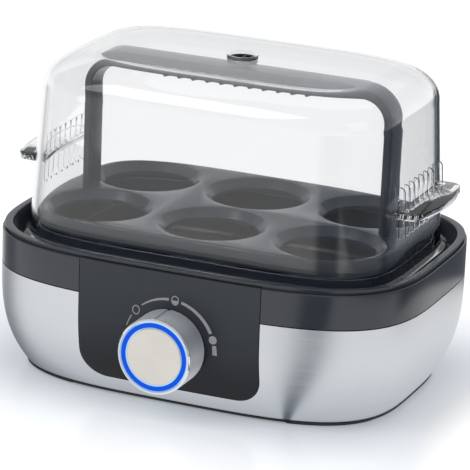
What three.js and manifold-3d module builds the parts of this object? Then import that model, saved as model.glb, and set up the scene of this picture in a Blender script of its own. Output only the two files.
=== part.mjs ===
// Countertop steam cooker with six seats: steel body, dark rim and front panel, lit knob, clear lid, tray
// with an arched handle, and the heater and electronics inside. Millimetres, +Z up, front towards -Y.
// The origin lies on the table, in the middle of the footprint.
import * as THREE from "three";
import { mergeVertices } from "three/addons/utils/BufferGeometryUtils.js";
import Module from "manifold-3d";

const wasm = await Module();
wasm.setup();

// Clearances
const seatGap = 0.3; // between a piece and what it rests on or fits into
const runningGap = 0.08; // round a shaft in its bore
const overrun = 2; // how far a cut passes through what it cuts

// Facets
const outlineSteps = 40;
const knobSteps = 32;
const roundSteps = 20;
const screwSteps = 10;

// Body outline and steel wall
const bodyHalfLength = 90.9;
const bodyHalfWidth = 66.8;
const bodyCornerPower = 3.6;
const steelWall = 0.8;
const steelBottom = 2;
const steelTop = 44.1;
const tuckIn = 9.9;
const flankPower = 3;
const flankRowShares = [0, 0.09, 0.2, 0.36, 0.6, 1];

// Rim
const rimHeight = 16.3;
const bandWidth = 3.7;
const bandEdge = 0.5;
const bandSetback = 0.8;
const grooveHeight = 1.2;
const grooveDepth = 1.6;
const bandHeight = 0.6;
const tongueDepth = 4;
const tongueWall = 1.6;
const troughDepth = 10;
const troughWall = 2.2;
const troughDraft = 0.4;
const troughFillet = 1.4;

// Front panel
const panelHalfWidth = 39;
const panelBottom = 8.9;
const panelCornerRadius = 11;
const panelWall = 2.4;
const panelFlankRows = 5;
const panelBossRadius = 3.2;
const panelPilotDepth = 7;

// Clear lid
const lidEndSetback = 10.4;
const lidSideSetback = 13.6;
const lidCornerPower = 4.4;
const lidWall = 2;
const lidHeight = 80.7;
const lidDraft = 0.055;
const shoulderReach = 19;
const shoulderRise = 14.5;
const shoulderSteps = 5;
const footFlare = 2.2;
const footHeight = 5.4;
const footFillet = 1;
const tabHalfWidth = 26;
const tabReach = 12.7;
const tabBulge = 2.5;
const tabCornerRadius = 7;
const tabThickness = 2.7;
const tabRise = 32.9;
const tabEmbed = 1;
const ribCount = 9;
const ribPitch = 5.4;
const ribThickness = 1.1;
const ribDepth = 2.3;
const ribRise = 10.5;
const ribRounding = 1.6;
const ventBossRadius = 6.4;
const ventBossHeight = 1.2;
const ventHoleRadius = 5.1;

// Steam vent insert
const ventWall = 0.9;
const ventBar = 1.2;
const ventLipRadius = 6.2;
const ventLipThickness = 1.2;
const ventDrop = 0.3;

// Collar inside the rim, water dish and its seal
const collarGap = 1.4;
const collarWall = 2;
const collarEdge = 0.4;
const lipReach = 4;
const lipThickness = 2;
const collarDepth = 11.7;
const sealThickness = 1.2;
const dishWall = 0.8;
const dishDepth = 10.4;
const dishLipGap = 0.6;
const dishDraft = 0.4;
const dishCorner = 3;

// Tray
const trayHeight = 7.5;
const trayWall = 1.8;
const traySetback = 0.4;
const trayEdgeRadius = 1.2;
const seatColumns = 3;
const seatRows = 2;
const seatBridge = 2.5;
const seatSideMargin = 2.95;
const seatEndMargin = 3.8;
const seatLedge = 3.6;
const seatDip = 3.5;
const seatWall = 1.6;

// Tray handle
const handleSideGap = 11;
const handleTopGap = 3;
const handleThickness = 3.2;
const handleWidth = 12;
const handleCornerRadius = 14;
const handleCornerSteps = 5;
const tenonThickness = 2;
const tenonWidth = 8;
const tenonDepth = 4.5;
const gripRibCount = 11;
const gripRibPitch = 6.2;
const gripRibHeight = 0.9;
const gripRibWidth = 1.6;

// Floor, feet and base screws
const floorThickness = 2;
const floorLip = 0.9;
const floorUpstand = 2.1;
const floorUpstandWall = 1.8;
const footInset = 1.2;
const footWidth = 8;
const footSpreadShare = 0.248;
const footSteps = 7;
const footClear = 0.5;
const postRadius = 4.2;
const postTop = 17.4;
const bossRadius = 3.4;
const baseScrewRadius = 1.5;
const baseScrewHeadRadius = 2.9;
const baseScrewHeadHeight = 1.6;
const baseScrewLength = 29;

// Heater under the dish
const heaterPlateHalfLength = 52;
const heaterPlateHalfWidth = 28;
const heaterPlateCorner = 20;
const heaterPlateThickness = 2.5;
const elementRadius = 3.2;
const elementSides = 7;
const elementSteps = 32;
const elementHalfLength = 47;
const elementHalfWidth = 20.5;
const elementTerminalX = 14;
const elementTerminalDrop = 14;
const elementBend = 5;
const strapWidth = 14;
const strapThickness = 1.5;
const strapFoot = 4.6;
const strapClear = 1.1;
const studRadius = 2;
const studLength = 12.5;
const studHeadRadius = 4;
const studHeadThickness = 1;
const nutRadius = 4;
const nutThickness = 3.2;
const nutSides = 6;
const sensorX = 24;
const thermostatRadius = 8.2;
const thermostatHeight = 6;
const thermostatCapRadius = 6;
const thermostatCapHeight = 4;
const spadeWidth = 5;
const spadeThickness = 0.8;
const spadeLength = 6;
const spadeSpread = 3.4;
const fuseRadius = 2.3;
const fuseLength = 11;
const fuseLeadRadius = 0.6;
const fuseLeadLength = 5;
const clipWidth = 5;
const clipThickness = 0.8;
const clipFoot = 4;
const clipSteps = 6;

// Knob and its drive
const knobOffset = 1.2; // to the right of the panel's middle
const knobHeight = 28.6;
const knobBackGap = 0.6;
const knobDepth = 14.2;
const knobRadius = 15.6;
const sleeveWall = 0.9;
const bezelDepth = 0.9;
const bezelChamfer = 0.5;
const lightRingWall = 2.4;
const lightRingFlange = 1.2;
const lightRingSetback = 0.3;
const faceThickness = 2.7;
const faceDish = 0.4;
const faceSetback = 0.4;
const hubRadius = 9;
const pointerWidth = 1.6;
const pointerDepth = 0.45;
const shaftRadius = 3;
const shaftFlat = 0.8;
const shaftTipGap = 0.8;
const shaftTail = 4;
const bushingRadius = 3.9;
const bushingLength = 3.4;
const encoderSize = 13;
const encoderDepth = 6;
const guideRadius = 8;

// Circuit board and what it carries
const boardHalfWidth = 30;
const boardBottom = 11.4;
const boardTop = 43.4;
const boardThickness = 1.6;
const boardSetback = 11.8;
const boardScrewInsetX = 5;
const boardScrewInsetZ = 6;
const boardScrewRadius = 1.2;
const boardScrewHeadRadius = 2.4;
const boardScrewHeadHeight = 1.5;
const boardScrewLength = 8;
const relayWidth = 15;
const relayHeight = 12;
const relayDepth = 10;
const relayX = -2;
const relayRise = 7;
const buzzerRadius = 6;
const buzzerDepth = 6;
const buzzerHoleRadius = 1;
const buzzerInset = 11;
const buzzerRise = 10;

// Mains side
const glandX = -45;
const glandZ = 19.4;
const glandBarrelRadius = 5.2;
const glandBore = 3.5;
const glandFlangeRadius = 7.5;
const glandFlangeThickness = 2.2;
const glandInside = 6;
const terminalX = -38;
const terminalSetback = 26.8;
const terminalLength = 28;
const terminalWidth = 12;
const terminalHeight = 11;
const terminalNotch = 2;
const terminalWays = 3;
const leadRadius = 1.2;
const leadSides = 6;
const leadSteps = 10;
const leadSpread = 5;
const leadDrop = 5;
const leadRise = 8;

// Places that follow from the sizes above
const fullTurn = 2 * Math.PI;
const quarterTurn = Math.PI / 2;
const bodyOutline = { halfLength: bodyHalfLength, halfWidth: bodyHalfWidth, cornerPower: bodyCornerPower };
const lidHalfLength = bodyHalfLength - lidEndSetback;
const lidHalfWidth = bodyHalfWidth - lidSideSetback;
const lidOutline = { halfLength: lidHalfLength, halfWidth: lidHalfWidth, cornerPower: lidCornerPower };
const rimTop = steelTop + rimHeight;
const troughFloor = rimTop - troughDepth;
const troughUnderside = troughFloor - troughWall;
const rimBottom = steelTop + seatGap;
const grooveTop = rimTop - bandHeight;
const grooveBottom = grooveTop - grooveHeight;
const panelTop = grooveBottom;
const lidFoot = troughFloor + seatGap;
const lidTop = lidFoot + lidHeight;
const tabHeight = lidFoot + tabRise;
const collarOuter = lidWall + collarGap;
const collarInner = collarOuter + collarWall;
const collarTop = rimTop - seatGap;
const lipInner = collarInner + lipReach;
const lipTop = collarTop - collarDepth;
const lipBottom = lipTop - lipThickness;
const sealBottom = lipTop + seatGap;
const dishFlangeBottom = sealBottom + sealThickness + seatGap;
const dishTop = dishFlangeBottom + dishWall;
const dishFloor = dishTop - dishDepth;
const dishUnderside = dishFloor - dishWall;
const trayBottom = collarTop + seatGap;
const trayTop = trayBottom + trayHeight;
const trayOuter = collarOuter + traySetback;
const traySkirtTop = trayTop - trayEdgeRadius;
const seatLip = trayTop - seatDip;
const seatMouthRadius = (lidHalfWidth - trayOuter - seatSideMargin - seatBridge / 2) / seatRows;
const seatHoleRadius = seatMouthRadius - seatLedge;
const seatPitchX = lidHalfLength - trayOuter - seatEndMargin - seatMouthRadius;
const seatPitchY = 2 * seatMouthRadius + seatBridge;
const handleHalfSpan = lidHalfLength - lidWall - handleSideGap;
const handleTop = lidTop - lidWall - handleTopGap;
const floorBottom = footClear + seatGap;
const floorTop = floorBottom + floorThickness;
const screwSeat = baseScrewHeadHeight + 2 * seatGap;
const heaterPlateTop = dishUnderside - seatGap;
const heaterPlateBottom = heaterPlateTop - heaterPlateThickness;
const underPlate = heaterPlateBottom - seatGap;
const elementHeight = underPlate - elementRadius;
const strapTop = elementHeight - elementRadius - seatGap;
const strapBottom = strapTop - strapThickness;
const boardFront = bodyHalfWidth - boardSetback;
const boardRear = boardFront - boardThickness;
const encoderBack = boardFront + seatGap;
const encoderFront = encoderBack + encoderDepth;
const panelScrewX = boardHalfWidth - boardScrewInsetX;
const panelScrewZ = boardTop - boardScrewInsetZ;
const relayZ = boardBottom + relayRise;
const buzzerX = boardHalfWidth - buzzerInset;
const buzzerZ = boardBottom + buzzerRise;
const leadLanding = boardBottom + leadRise;
const terminalY = bodyHalfWidth - terminalSetback;
const knobBack = bodyHalfWidth + knobBackGap;
const knobFront = knobBack + knobDepth;
const sleeveInner = knobRadius - sleeveWall;
const lightRingOuter = sleeveInner - seatGap;
const lightRingInner = lightRingOuter - lightRingWall;
const faceRadius = lightRingInner - seatGap;
const lightRingFlangeTop = knobBack + seatGap + lightRingFlange;

// Materials
const finish = (color, roughness, metalness) =>
  new THREE.MeshStandardMaterial({ color, roughness, metalness });
const brushedSteel = finish("#c3c8cb", 0.34, 1);
const anthracite = finish("#484c54", 0.42, 0);
const darkPanel = finish("#34373d", 0.38, 0);
const blackPlastic = finish("#1c1d20", 0.55, 0);
const blackRubber = finish("#17181a", 0.85, 0);
const clearPlastic = new THREE.MeshStandardMaterial({
  color: "#eef2f4", roughness: 0.05, metalness: 0, transparent: true, opacity: 0.3,
});
const trayPlastic = finish("#4c5057", 0.28, 0);
const coatedSteel = finish("#2b2c2e", 0.4, 0.3);
const silicone = finish("#b8b2a6", 0.7, 0);
const aluminium = finish("#b9bcbf", 0.45, 1);
const heaterSteel = finish("#6d6862", 0.5, 1);
const zincSteel = finish("#b4b6ae", 0.4, 1);
const ceramic = finish("#e6e2d6", 0.6, 0);
const boardGreen = finish("#1f5b3c", 0.55, 0);
const knobMetal = finish("#d6d3ca", 0.3, 1);
const chrome = finish("#e8eaec", 0.08, 1);
const blueLight = finish("#1458e6", 0.3, 0);
const wireBrown = finish("#8c3a22", 0.6, 0);
const wireBlue = finish("#28508c", 0.6, 0);

// Superellipse outlines

function outlinePoint(outline, inset, angle, z) {
  const spread = (share) => Math.sign(share) * Math.abs(share) ** (2 / outline.cornerPower);
  return new THREE.Vector3(
    (outline.halfLength - inset) * spread(Math.cos(angle)),
    (outline.halfWidth - inset) * spread(Math.sin(angle)),
    z,
  );
}

function ring(outline, inset, z) {
  return Array.from({ length: outlineSteps }, (_, step) =>
    outlinePoint(outline, inset, (step / outlineSteps) * fullTurn, z));
}

// How far the outline reaches along Y at a given X
function outlineReach(outline, inset, x) {
  const share = (Math.abs(x) / (outline.halfLength - inset)) ** outline.cornerPower;
  return (outline.halfWidth - inset) * (1 - share) ** (1 / outline.cornerPower);
}

// The steel and the panel tuck in towards the floor
function flankInset(z) {
  const rise = Math.min(1, Math.max(0, (z - steelBottom) / (steelTop - steelBottom)));
  return tuckIn * (1 - rise) ** flankPower;
}

function wallReach(x, z) {
  return outlineReach(bodyOutline, flankInset(z), x);
}

// Meshes from rings of points: closed ones join the last ring to the first, open ones are capped

function loft(rings, isClosed) {
  const steps = rings[0].length;
  const points = rings.flat();
  const faces = [];
  const rowCount = isClosed ? rings.length : rings.length - 1;
  for (let row = 0; row < rowCount; row += 1) {
    const nextRow = (row + 1) % rings.length;
    for (let step = 0; step < steps; step += 1) {
      const nextStep = (step + 1) % steps;
      const low = row * steps + step;
      const lowNext = row * steps + nextStep;
      const high = nextRow * steps + step;
      const highNext = nextRow * steps + nextStep;
      faces.push(low, lowNext, highNext, low, highNext, high);
    }
  }
  if (!isClosed) {
    const lastRow = (rings.length - 1) * steps;
    const firstCentre = points.push(centreOf(rings[0])) - 1;
    const lastCentre = points.push(centreOf(rings[rings.length - 1])) - 1;
    for (let step = 0; step < steps; step += 1) {
      const nextStep = (step + 1) % steps;
      faces.push(firstCentre, nextStep, step);
      faces.push(lastCentre, lastRow + step, lastRow + nextStep);
    }
  }
  const geometry = new THREE.BufferGeometry().setFromPoints(points);
  geometry.setIndex(faces);
  return geometry;
}

function centreOf(points) {
  const sum = points.reduce((total, point) => total.add(point), new THREE.Vector3());
  return sum.divideScalar(points.length);
}

// Round pieces about Z: the profile of [radius, height] pairs runs up the outside and down the inside

function turned(profile, steps = roundSteps) {
  const points = profile.map(([radius, height]) => new THREE.Vector2(radius, height));
  return new THREE.LatheGeometry(points, steps).rotateX(quarterTurn);
}

function tube(inner, outer, low, high, steps) {
  return turned([[inner, low], [outer, low], [outer, high], [inner, high], [inner, low]], steps);
}

function rod(radius, low, high, steps) {
  return turned([[0, low], [radius, low], [radius, high], [0, high]], steps);
}

function block(lowX, highX, lowY, highY, lowZ, highZ) {
  const box = new THREE.BoxGeometry(highX - lowX, highY - lowY, highZ - lowZ);
  return box.translate((lowX + highX) / 2, (lowY + highY) / 2, (lowZ + highZ) / 2);
}

// A shape drawn in X and Y, raised from low to high
function raised(shape, low, high, curveSegments = 4) {
  const settings = { depth: high - low, bevelEnabled: false, curveSegments };
  return new THREE.ExtrudeGeometry(shape, settings).translate(0, 0, low);
}

// A shape drawn in X and Z, running along Y from low to high
function acrossDepth(shape, low, high, curveSegments = 4) {
  const settings = { depth: high - low, bevelEnabled: false, curveSegments };
  return new THREE.ExtrudeGeometry(shape, settings).rotateX(quarterTurn).translate(0, high, 0);
}

// A shape drawn in Y and Z, running along X from low to high
function acrossLength(shape, low, high, curveSegments = 4) {
  const settings = { depth: high - low, bevelEnabled: false, curveSegments };
  const geometry = new THREE.ExtrudeGeometry(shape, settings);
  return geometry.rotateX(quarterTurn).rotateZ(quarterTurn).translate(low, 0, 0);
}

function polygon(points) {
  return new THREE.Shape(points.map(([x, y]) => new THREE.Vector2(x, y)));
}

function roundedRectangle(halfLength, halfWidth, radius) {
  const shape = new THREE.Shape();
  shape.absarc(halfLength - radius, halfWidth - radius, radius, 0, quarterTurn);
  shape.absarc(radius - halfLength, halfWidth - radius, radius, quarterTurn, Math.PI);
  shape.absarc(radius - halfLength, radius - halfWidth, radius, Math.PI, 3 * quarterTurn);
  shape.absarc(halfLength - radius, radius - halfWidth, radius, 3 * quarterTurn, fullTurn);
  return shape;
}

function roundSection(radius, sides) {
  return polygon(Array.from({ length: sides }, (_, side) => {
    const angle = (side / sides) * fullTurn;
    return [radius * Math.cos(angle), radius * Math.sin(angle)];
  }));
}

function alongPath(points, radius, sides, steps) {
  const path = new THREE.CatmullRomCurve3(points.map(([x, y, z]) => new THREE.Vector3(x, y, z)));
  return new THREE.ExtrudeGeometry(roundSection(radius, sides), { steps, extrudePath: path });
}

// Joining and cutting

function solid(geometry) {
  const bare = geometry.clone();
  bare.deleteAttribute("normal");
  bare.deleteAttribute("uv");
  const merged = mergeVertices(bare);
  const corners = merged.index.array;
  const faces = [];
  for (let corner = 0; corner < corners.length; corner += 3) {
    const [a, b, c] = corners.slice(corner, corner + 3);
    if (a !== b && b !== c && c !== a) {
      faces.push(a, b, c);
    }
  }
  return new wasm.Manifold(new wasm.Mesh({
    numProp: 3,
    vertProperties: new Float32Array(merged.attributes.position.array),
    triVerts: new Uint32Array(faces),
  }));
}

function joined(...geometries) {
  return geometries.map(solid).reduce((whole, next) => whole.add(next));
}

function cut(whole, ...cutters) {
  return cutters.map(solid).reduce((rest, cutter) => rest.subtract(cutter), whole);
}

function shapeOf(solidBody) {
  const { vertProperties, triVerts } = solidBody.getMesh();
  const geometry = new THREE.BufferGeometry();
  geometry.setAttribute("position", new THREE.BufferAttribute(vertProperties, 3));
  geometry.setIndex(new THREE.BufferAttribute(triVerts, 1));
  return geometry;
}

const cooker = new THREE.Group();

// Adds a piece to its group. Plain geometry is welded on the way, as the cut pieces are
function addPiece(name, shape, material, parent = cooker) {
  const body = shape instanceof wasm.Manifold ? shape : solid(shape);
  const mesh = new THREE.Mesh(shapeOf(body), material);
  mesh.name = name;
  mesh.geometry.computeVertexNormals();
  parent.add(mesh);
  return mesh;
}

// Places in the four corners, each with its screw in the middle of the foot
const screwPlace = outlinePoint(bodyOutline, tuckIn + footInset + footWidth / 2, quarterTurn / 2, 0);
const corners = [
  { side: "front_left", x: -1, y: -1 },
  { side: "front_right", x: 1, y: -1 },
  { side: "rear_left", x: -1, y: 1 },
  { side: "rear_right", x: 1, y: 1 },
];

// Copies of a geometry at the four screws
function atScrews(geometry) {
  return corners.map(({ x, y }) => geometry.clone().translate(x * screwPlace.x, y * screwPlace.y, 0));
}

// Front panel outline in X and Z, grown for the seam round it
function panelShape(grow, top) {
  const half = panelHalfWidth + grow;
  const low = panelBottom - grow;
  const radius = panelCornerRadius + grow;
  const shape = new THREE.Shape();
  shape.moveTo(-half, top);
  shape.lineTo(-half, low + radius);
  shape.absarc(radius - half, low + radius, radius, Math.PI, 3 * quarterTurn);
  shape.absarc(half - radius, low + radius, radius, 3 * quarterTurn, fullTurn);
  shape.lineTo(half, top);
  return shape;
}

const windowTop = grooveBottom + grooveHeight / 2;

// Everything in front of the panel's back face, inside the seam
function panelWindow() {
  const frontCut = acrossDepth(panelShape(seatGap, windowTop), -bodyHalfWidth - overrun, -boardFront);
  return solid(frontCut);
}

// Steel wall

function buildSteelShell() {
  const heights = flankRowShares.map((share) => steelBottom + share * (steelTop - steelBottom));
  const outside = heights.map((z) => ring(bodyOutline, flankInset(z), z));
  const inside = heights.map((z) => ring(bodyOutline, flankInset(z) + steelWall, z)).reverse();
  const glandHole = rod(glandBarrelRadius + seatGap, 0, bodyHalfWidth + overrun);
  glandHole.rotateX(-quarterTurn).translate(glandX, 0, glandZ);
  const shell = solid(loft([...outside, ...inside], true)).subtract(panelWindow());
  addPiece("steel_shell", cut(shell, glandHole), brushedSteel);
}

// Rim: band, groove, skirt and tongue on the body outline; collar and lip on the lid outline

function buildRim() {
  const tongueOuter = steelWall + seatGap;
  const tongueInner = tongueOuter + tongueWall;
  const rings = [
    ring(bodyOutline, 0, rimBottom),
    ring(bodyOutline, 0, grooveBottom),
    ring(bodyOutline, grooveDepth, grooveBottom),
    ring(bodyOutline, grooveDepth, grooveTop),
    ring(bodyOutline, bandSetback, grooveTop),
    ring(bodyOutline, bandSetback, rimTop - bandEdge / 2),
    ring(bodyOutline, bandSetback + bandEdge, rimTop),
    ring(bodyOutline, bandWidth - bandEdge, rimTop),
    ring(bodyOutline, bandWidth, rimTop - bandEdge),
    ring(bodyOutline, bandWidth + troughDraft, troughFloor + troughFillet),
    ring(bodyOutline, bandWidth + troughDraft + troughFillet, troughFloor),
    ring(lidOutline, collarOuter, troughFloor),
    ring(lidOutline, collarOuter, collarTop - collarEdge),
    ring(lidOutline, collarOuter + collarEdge, collarTop),
    ring(lidOutline, collarInner, collarTop),
    ring(lidOutline, collarInner, lipTop),
    ring(lidOutline, lipInner, lipTop),
    ring(lidOutline, lipInner, lipBottom),
    ring(lidOutline, collarOuter, lipBottom),
    ring(lidOutline, collarOuter, troughUnderside),
    ring(bodyOutline, tongueInner, troughUnderside),
    ring(bodyOutline, tongueInner, rimBottom - tongueDepth),
    ring(bodyOutline, tongueOuter, rimBottom - tongueDepth),
    ring(bodyOutline, tongueOuter, rimBottom),
  ];
  const pilot = rod(baseScrewRadius + seatGap, postTop, lipBottom, screwSteps);
  const boss = rod(bossRadius, postTop + seatGap, lipBottom + lipThickness / 2);
  const backing = panelWall + seatGap;
  const backingCore = solid(loft([
    ring(bodyOutline, backing, troughUnderside + backing / 4),
    ring(bodyOutline, backing, rimTop + overrun),
  ], false));
  const rim = joined(loft(rings, true), ...atScrews(boss)).subtract(panelWindow().subtract(backingCore));
  addPiece("rim_ring", cut(rim, ...atScrews(pilot)), anthracite);
}

// Front panel: a slice of the body wall with bosses for the board and a hole for the light guide

function buildPanel() {
  const heights = Array.from({ length: panelFlankRows }, (_, row) =>
    panelBottom - overrun + (row / (panelFlankRows - 1)) * (steelTop - panelBottom + overrun));
  heights.push(panelTop + overrun);
  const outside = heights.map((z) => ring(bodyOutline, flankInset(z), z));
  const inside = heights.map((z) => ring(bodyOutline, flankInset(z) + panelWall, z)).reverse();
  const wall = solid(loft([...outside, ...inside], true));
  const outline = solid(acrossDepth(panelShape(0, panelTop), -bodyHalfWidth - overrun, -boardFront));
  const bossFront = wallReach(panelScrewX, panelScrewZ) - panelWall / 2;
  const screwPlaces = [-panelScrewX, panelScrewX];
  const boss = rod(panelBossRadius, boardFront + seatGap, bossFront);
  const pilot = rod(boardScrewRadius + seatGap, boardFront, boardFront + panelPilotDepth, screwSteps);
  const forward = (geometry, x, z) => geometry.clone().rotateX(quarterTurn).translate(x, 0, z);
  const bosses = screwPlaces.map((x) => solid(forward(boss, x, panelScrewZ)));
  const panel = bosses.reduce((whole, next) => whole.add(next), wall.intersect(outline));
  const guideHole = rod(guideRadius + seatGap, boardFront, knobBack + overrun);
  const holes = screwPlaces.map((x) => forward(pilot, x, panelScrewZ));
  addPiece("front_panel", cut(panel, forward(guideHole, knobOffset, knobHeight), ...holes), darkPanel);
}

// Floor with an upstand inside the steel, four posts and the recesses of the screw heads under them

function buildFloor() {
  const upstandOuter = tuckIn + steelWall + seatGap;
  const upstandInner = upstandOuter + floorUpstandWall;
  const lipTopEdge = floorBottom + floorLip;
  const upstandTop = floorTop + floorUpstand;
  const plate = loft([
    ring(bodyOutline, tuckIn, floorBottom),
    ring(bodyOutline, tuckIn, lipTopEdge),
    ring(bodyOutline, upstandOuter, lipTopEdge),
    ring(bodyOutline, upstandOuter, upstandTop),
    ring(bodyOutline, upstandInner, upstandTop),
    ring(bodyOutline, upstandInner, floorTop),
  ], false);
  const post = rod(postRadius, floorTop - floorThickness / 2, postTop);
  const hole = rod(baseScrewRadius + seatGap, floorBottom - overrun, postTop + overrun, screwSteps);
  const recess = rod(baseScrewHeadRadius + seatGap, floorBottom - overrun, screwSeat, screwSteps);
  const base = joined(plate, ...atScrews(post));
  addPiece("base_plate", cut(base, ...atScrews(hole), ...atScrews(recess)), blackPlastic);
}

// Rubber pads under the corners of the floor, each with a hole round its screw

function footShape(corner) {
  const outer = tuckIn + footInset;
  const place = (inset, step) => {
    const angle = quarterTurn / 2 + footSpreadShare * quarterTurn * (2 * (step / footSteps) - 1);
    const point = outlinePoint(bodyOutline, inset, angle, 0);
    return new THREE.Vector2(corner.x * point.x, corner.y * point.y);
  };
  const steps = Array.from({ length: footSteps + 1 }, (_, step) => step);
  const outside = steps.map((step) => place(outer, step));
  const inside = steps.map((step) => place(outer + footWidth, step)).reverse();
  return new THREE.Shape([...outside, ...inside]);
}

function buildFeet() {
  const hole = rod(baseScrewHeadRadius + seatGap, -overrun, footClear + overrun, screwSteps);
  const headTop = screwSeat - seatGap;
  const headBottom = headTop - baseScrewHeadHeight;
  const tip = headTop + baseScrewLength;
  const screw = turned([
    [0, headBottom], [baseScrewHeadRadius, headBottom], [baseScrewHeadRadius, headTop],
    [baseScrewRadius, headTop], [baseScrewRadius, tip], [0, tip],
  ], screwSteps);
  corners.forEach((corner, index) => {
    const x = corner.x * screwPlace.x;
    const y = corner.y * screwPlace.y;
    const foot = cut(solid(raised(footShape(corner), 0, footClear)), hole.clone().translate(x, y, 0));
    addPiece(`${corner.side}_foot`, foot, blackRubber);
    addPiece(`base_screw_${index + 1}`, screw, zincSteel).position.set(x, y, 0);
  });
}

// Water dish, its seal and the heater that hangs under it

function buildDish() {
  const outerWall = lipInner + dishLipGap;
  const flangeEdge = collarInner + seatGap;
  const dish = loft([
    ring(lidOutline, outerWall + 2 * dishCorner, dishUnderside),
    ring(lidOutline, outerWall + dishCorner, dishUnderside + dishCorner / 3),
    ring(lidOutline, outerWall + dishDraft, dishUnderside + dishCorner + dishWall),
    ring(lidOutline, outerWall, dishFlangeBottom),
    ring(lidOutline, flangeEdge, dishFlangeBottom),
    ring(lidOutline, flangeEdge, dishTop),
    ring(lidOutline, outerWall + dishWall, dishTop),
    ring(lidOutline, outerWall + dishWall + dishDraft, dishFloor + dishCorner),
    ring(lidOutline, outerWall + dishWall + dishCorner, dishFloor + dishCorner / 3),
    ring(lidOutline, outerWall + 2 * dishCorner, dishFloor),
  ], false);
  addPiece("heating_dish", dish, coatedSteel);
  const sealOuter = collarInner + seatGap;
  const sealInner = lipInner - seatGap;
  const seal = loft([
    ring(lidOutline, sealOuter, sealBottom),
    ring(lidOutline, sealOuter, sealBottom + sealThickness),
    ring(lidOutline, sealInner, sealBottom + sealThickness),
    ring(lidOutline, sealInner, sealBottom),
  ], true);
  addPiece("dish_seal", seal, silicone);
}

function buildHeater() {
  const plate = roundedRectangle(heaterPlateHalfLength, heaterPlateHalfWidth, heaterPlateCorner);
  addPiece("heater_plate", raised(plate, heaterPlateBottom, heaterPlateTop), aluminium);

  const bendShare = 1 - Math.SQRT1_2;
  const end = (side) => [
    [elementTerminalX, elementHeight - elementTerminalDrop],
    [elementTerminalX, elementHeight - elementBend],
    [elementTerminalX + elementBend * bendShare, elementHeight - elementBend * bendShare],
    [elementTerminalX + elementBend, elementHeight],
    [elementTerminalX + 1.5 * elementBend, elementHeight],
  ].map(([x, z]) => [side * x, -elementHalfWidth, z]);
  const sweepShares = [-0.35, 0, 0.35];
  const turn = (side) => sweepShares.map((share) => [
    side * elementHalfLength * Math.cos(share * Math.PI) ** (1 / 3),
    side * elementHalfWidth * Math.sin(share * Math.PI),
    elementHeight,
  ]);
  const path = [
    ...end(1),
    ...turn(1),
    [elementTerminalX, elementHalfWidth, elementHeight],
    [-elementTerminalX, elementHalfWidth, elementHeight],
    ...turn(-1),
    ...end(-1).reverse(),
  ];
  addPiece("heating_element", alongPath(path, elementRadius, elementSides, elementSteps), heaterSteel);

  const stud = turned([
    [0, underPlate - studLength], [studRadius, underPlate - studLength],
    [studRadius, underPlate - studHeadThickness], [studHeadRadius, underPlate - studHeadThickness],
    [studHeadRadius, underPlate], [0, underPlate],
  ]);
  addPiece("dish_stud", stud, zincSteel);
  const nutTop = strapBottom - seatGap;
  addPiece("dish_nut", nut(nutTop - nutThickness, nutTop), zincSteel);
}

function nut(low, high) {
  const shell = solid(rod(nutRadius, low, high, nutSides));
  return cut(shell, rod(studRadius + seatGap, low - overrun, high + overrun, screwSteps));
}

function buildStrap() {
  const legInner = lidHalfWidth - lipInner - dishLipGap + strapClear;
  const legOuter = legInner + strapThickness;
  const footOuter = legInner + strapFoot;
  const footTop = lipBottom - seatGap;
  const footBottom = footTop - strapThickness;
  const half = [
    [legInner, strapTop], [legInner, footTop], [footOuter, footTop],
    [footOuter, footBottom], [legOuter, footBottom], [legOuter, strapBottom],
  ];
  const mirrored = half.map(([y, z]) => [-y, z]).reverse();
  const strap = acrossLength(polygon([...half, ...mirrored]), -strapWidth / 2, strapWidth / 2);
  const hole = rod(studRadius + seatGap, strapBottom - overrun, strapTop + overrun, screwSteps);
  addPiece("retaining_strap", cut(solid(strap), hole), zincSteel);
}

function buildSensors() {
  const capTop = underPlate - thermostatHeight;
  const capBottom = capTop - thermostatCapHeight;
  const can = turned([
    [0, capBottom], [thermostatCapRadius, capBottom], [thermostatCapRadius, capTop],
    [thermostatRadius, capTop], [thermostatRadius, underPlate], [0, underPlate],
  ]);
  const spades = [-spadeSpread, spadeSpread].map((x) => block(
    x - spadeThickness / 2, x + spadeThickness / 2, -spadeWidth / 2, spadeWidth / 2,
    capBottom - spadeLength, capBottom + spadeThickness,
  ));
  addPiece("thermostat", joined(can, ...spades), ceramic).position.x = -sensorX;

  const half = fuseLength / 2;
  const fuse = turned([
    [0, -half - fuseLeadLength], [fuseLeadRadius, -half - fuseLeadLength], [fuseLeadRadius, -half],
    [fuseRadius, -half], [fuseRadius, half], [fuseLeadRadius, half],
    [fuseLeadRadius, half + fuseLeadLength], [0, half + fuseLeadLength],
  ], screwSteps).rotateY(quarterTurn);
  const fuseHeight = underPlate - fuseRadius;
  addPiece("thermal_fuse", fuse, ceramic).position.set(sensorX, 0, fuseHeight);

  const inner = fuseRadius + seatGap;
  const outer = inner + clipThickness;
  const clip = new THREE.Shape();
  clip.moveTo(-outer - clipFoot, fuseRadius);
  clip.lineTo(-outer - clipFoot, fuseRadius - clipThickness);
  clip.lineTo(-outer, fuseRadius - clipThickness);
  clip.absarc(0, 0, outer, Math.PI, fullTurn);
  clip.lineTo(outer, fuseRadius - clipThickness);
  clip.lineTo(outer + clipFoot, fuseRadius - clipThickness);
  clip.lineTo(outer + clipFoot, fuseRadius);
  clip.lineTo(inner, fuseRadius);
  clip.absarc(0, 0, inner, fullTurn, Math.PI, true);
  clip.lineTo(-inner, fuseRadius);
  const saddle = acrossLength(clip, -clipWidth / 2, clipWidth / 2, clipSteps);
  addPiece("fuse_clip", saddle, zincSteel).position.set(sensorX, 0, fuseHeight);
}

// Clear lid: one moulding with its foot, shoulder, end tabs and grip ribs, and a vent insert in its middle

function lidInset(z) {
  return lidDraft * (z - lidFoot);
}

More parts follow.
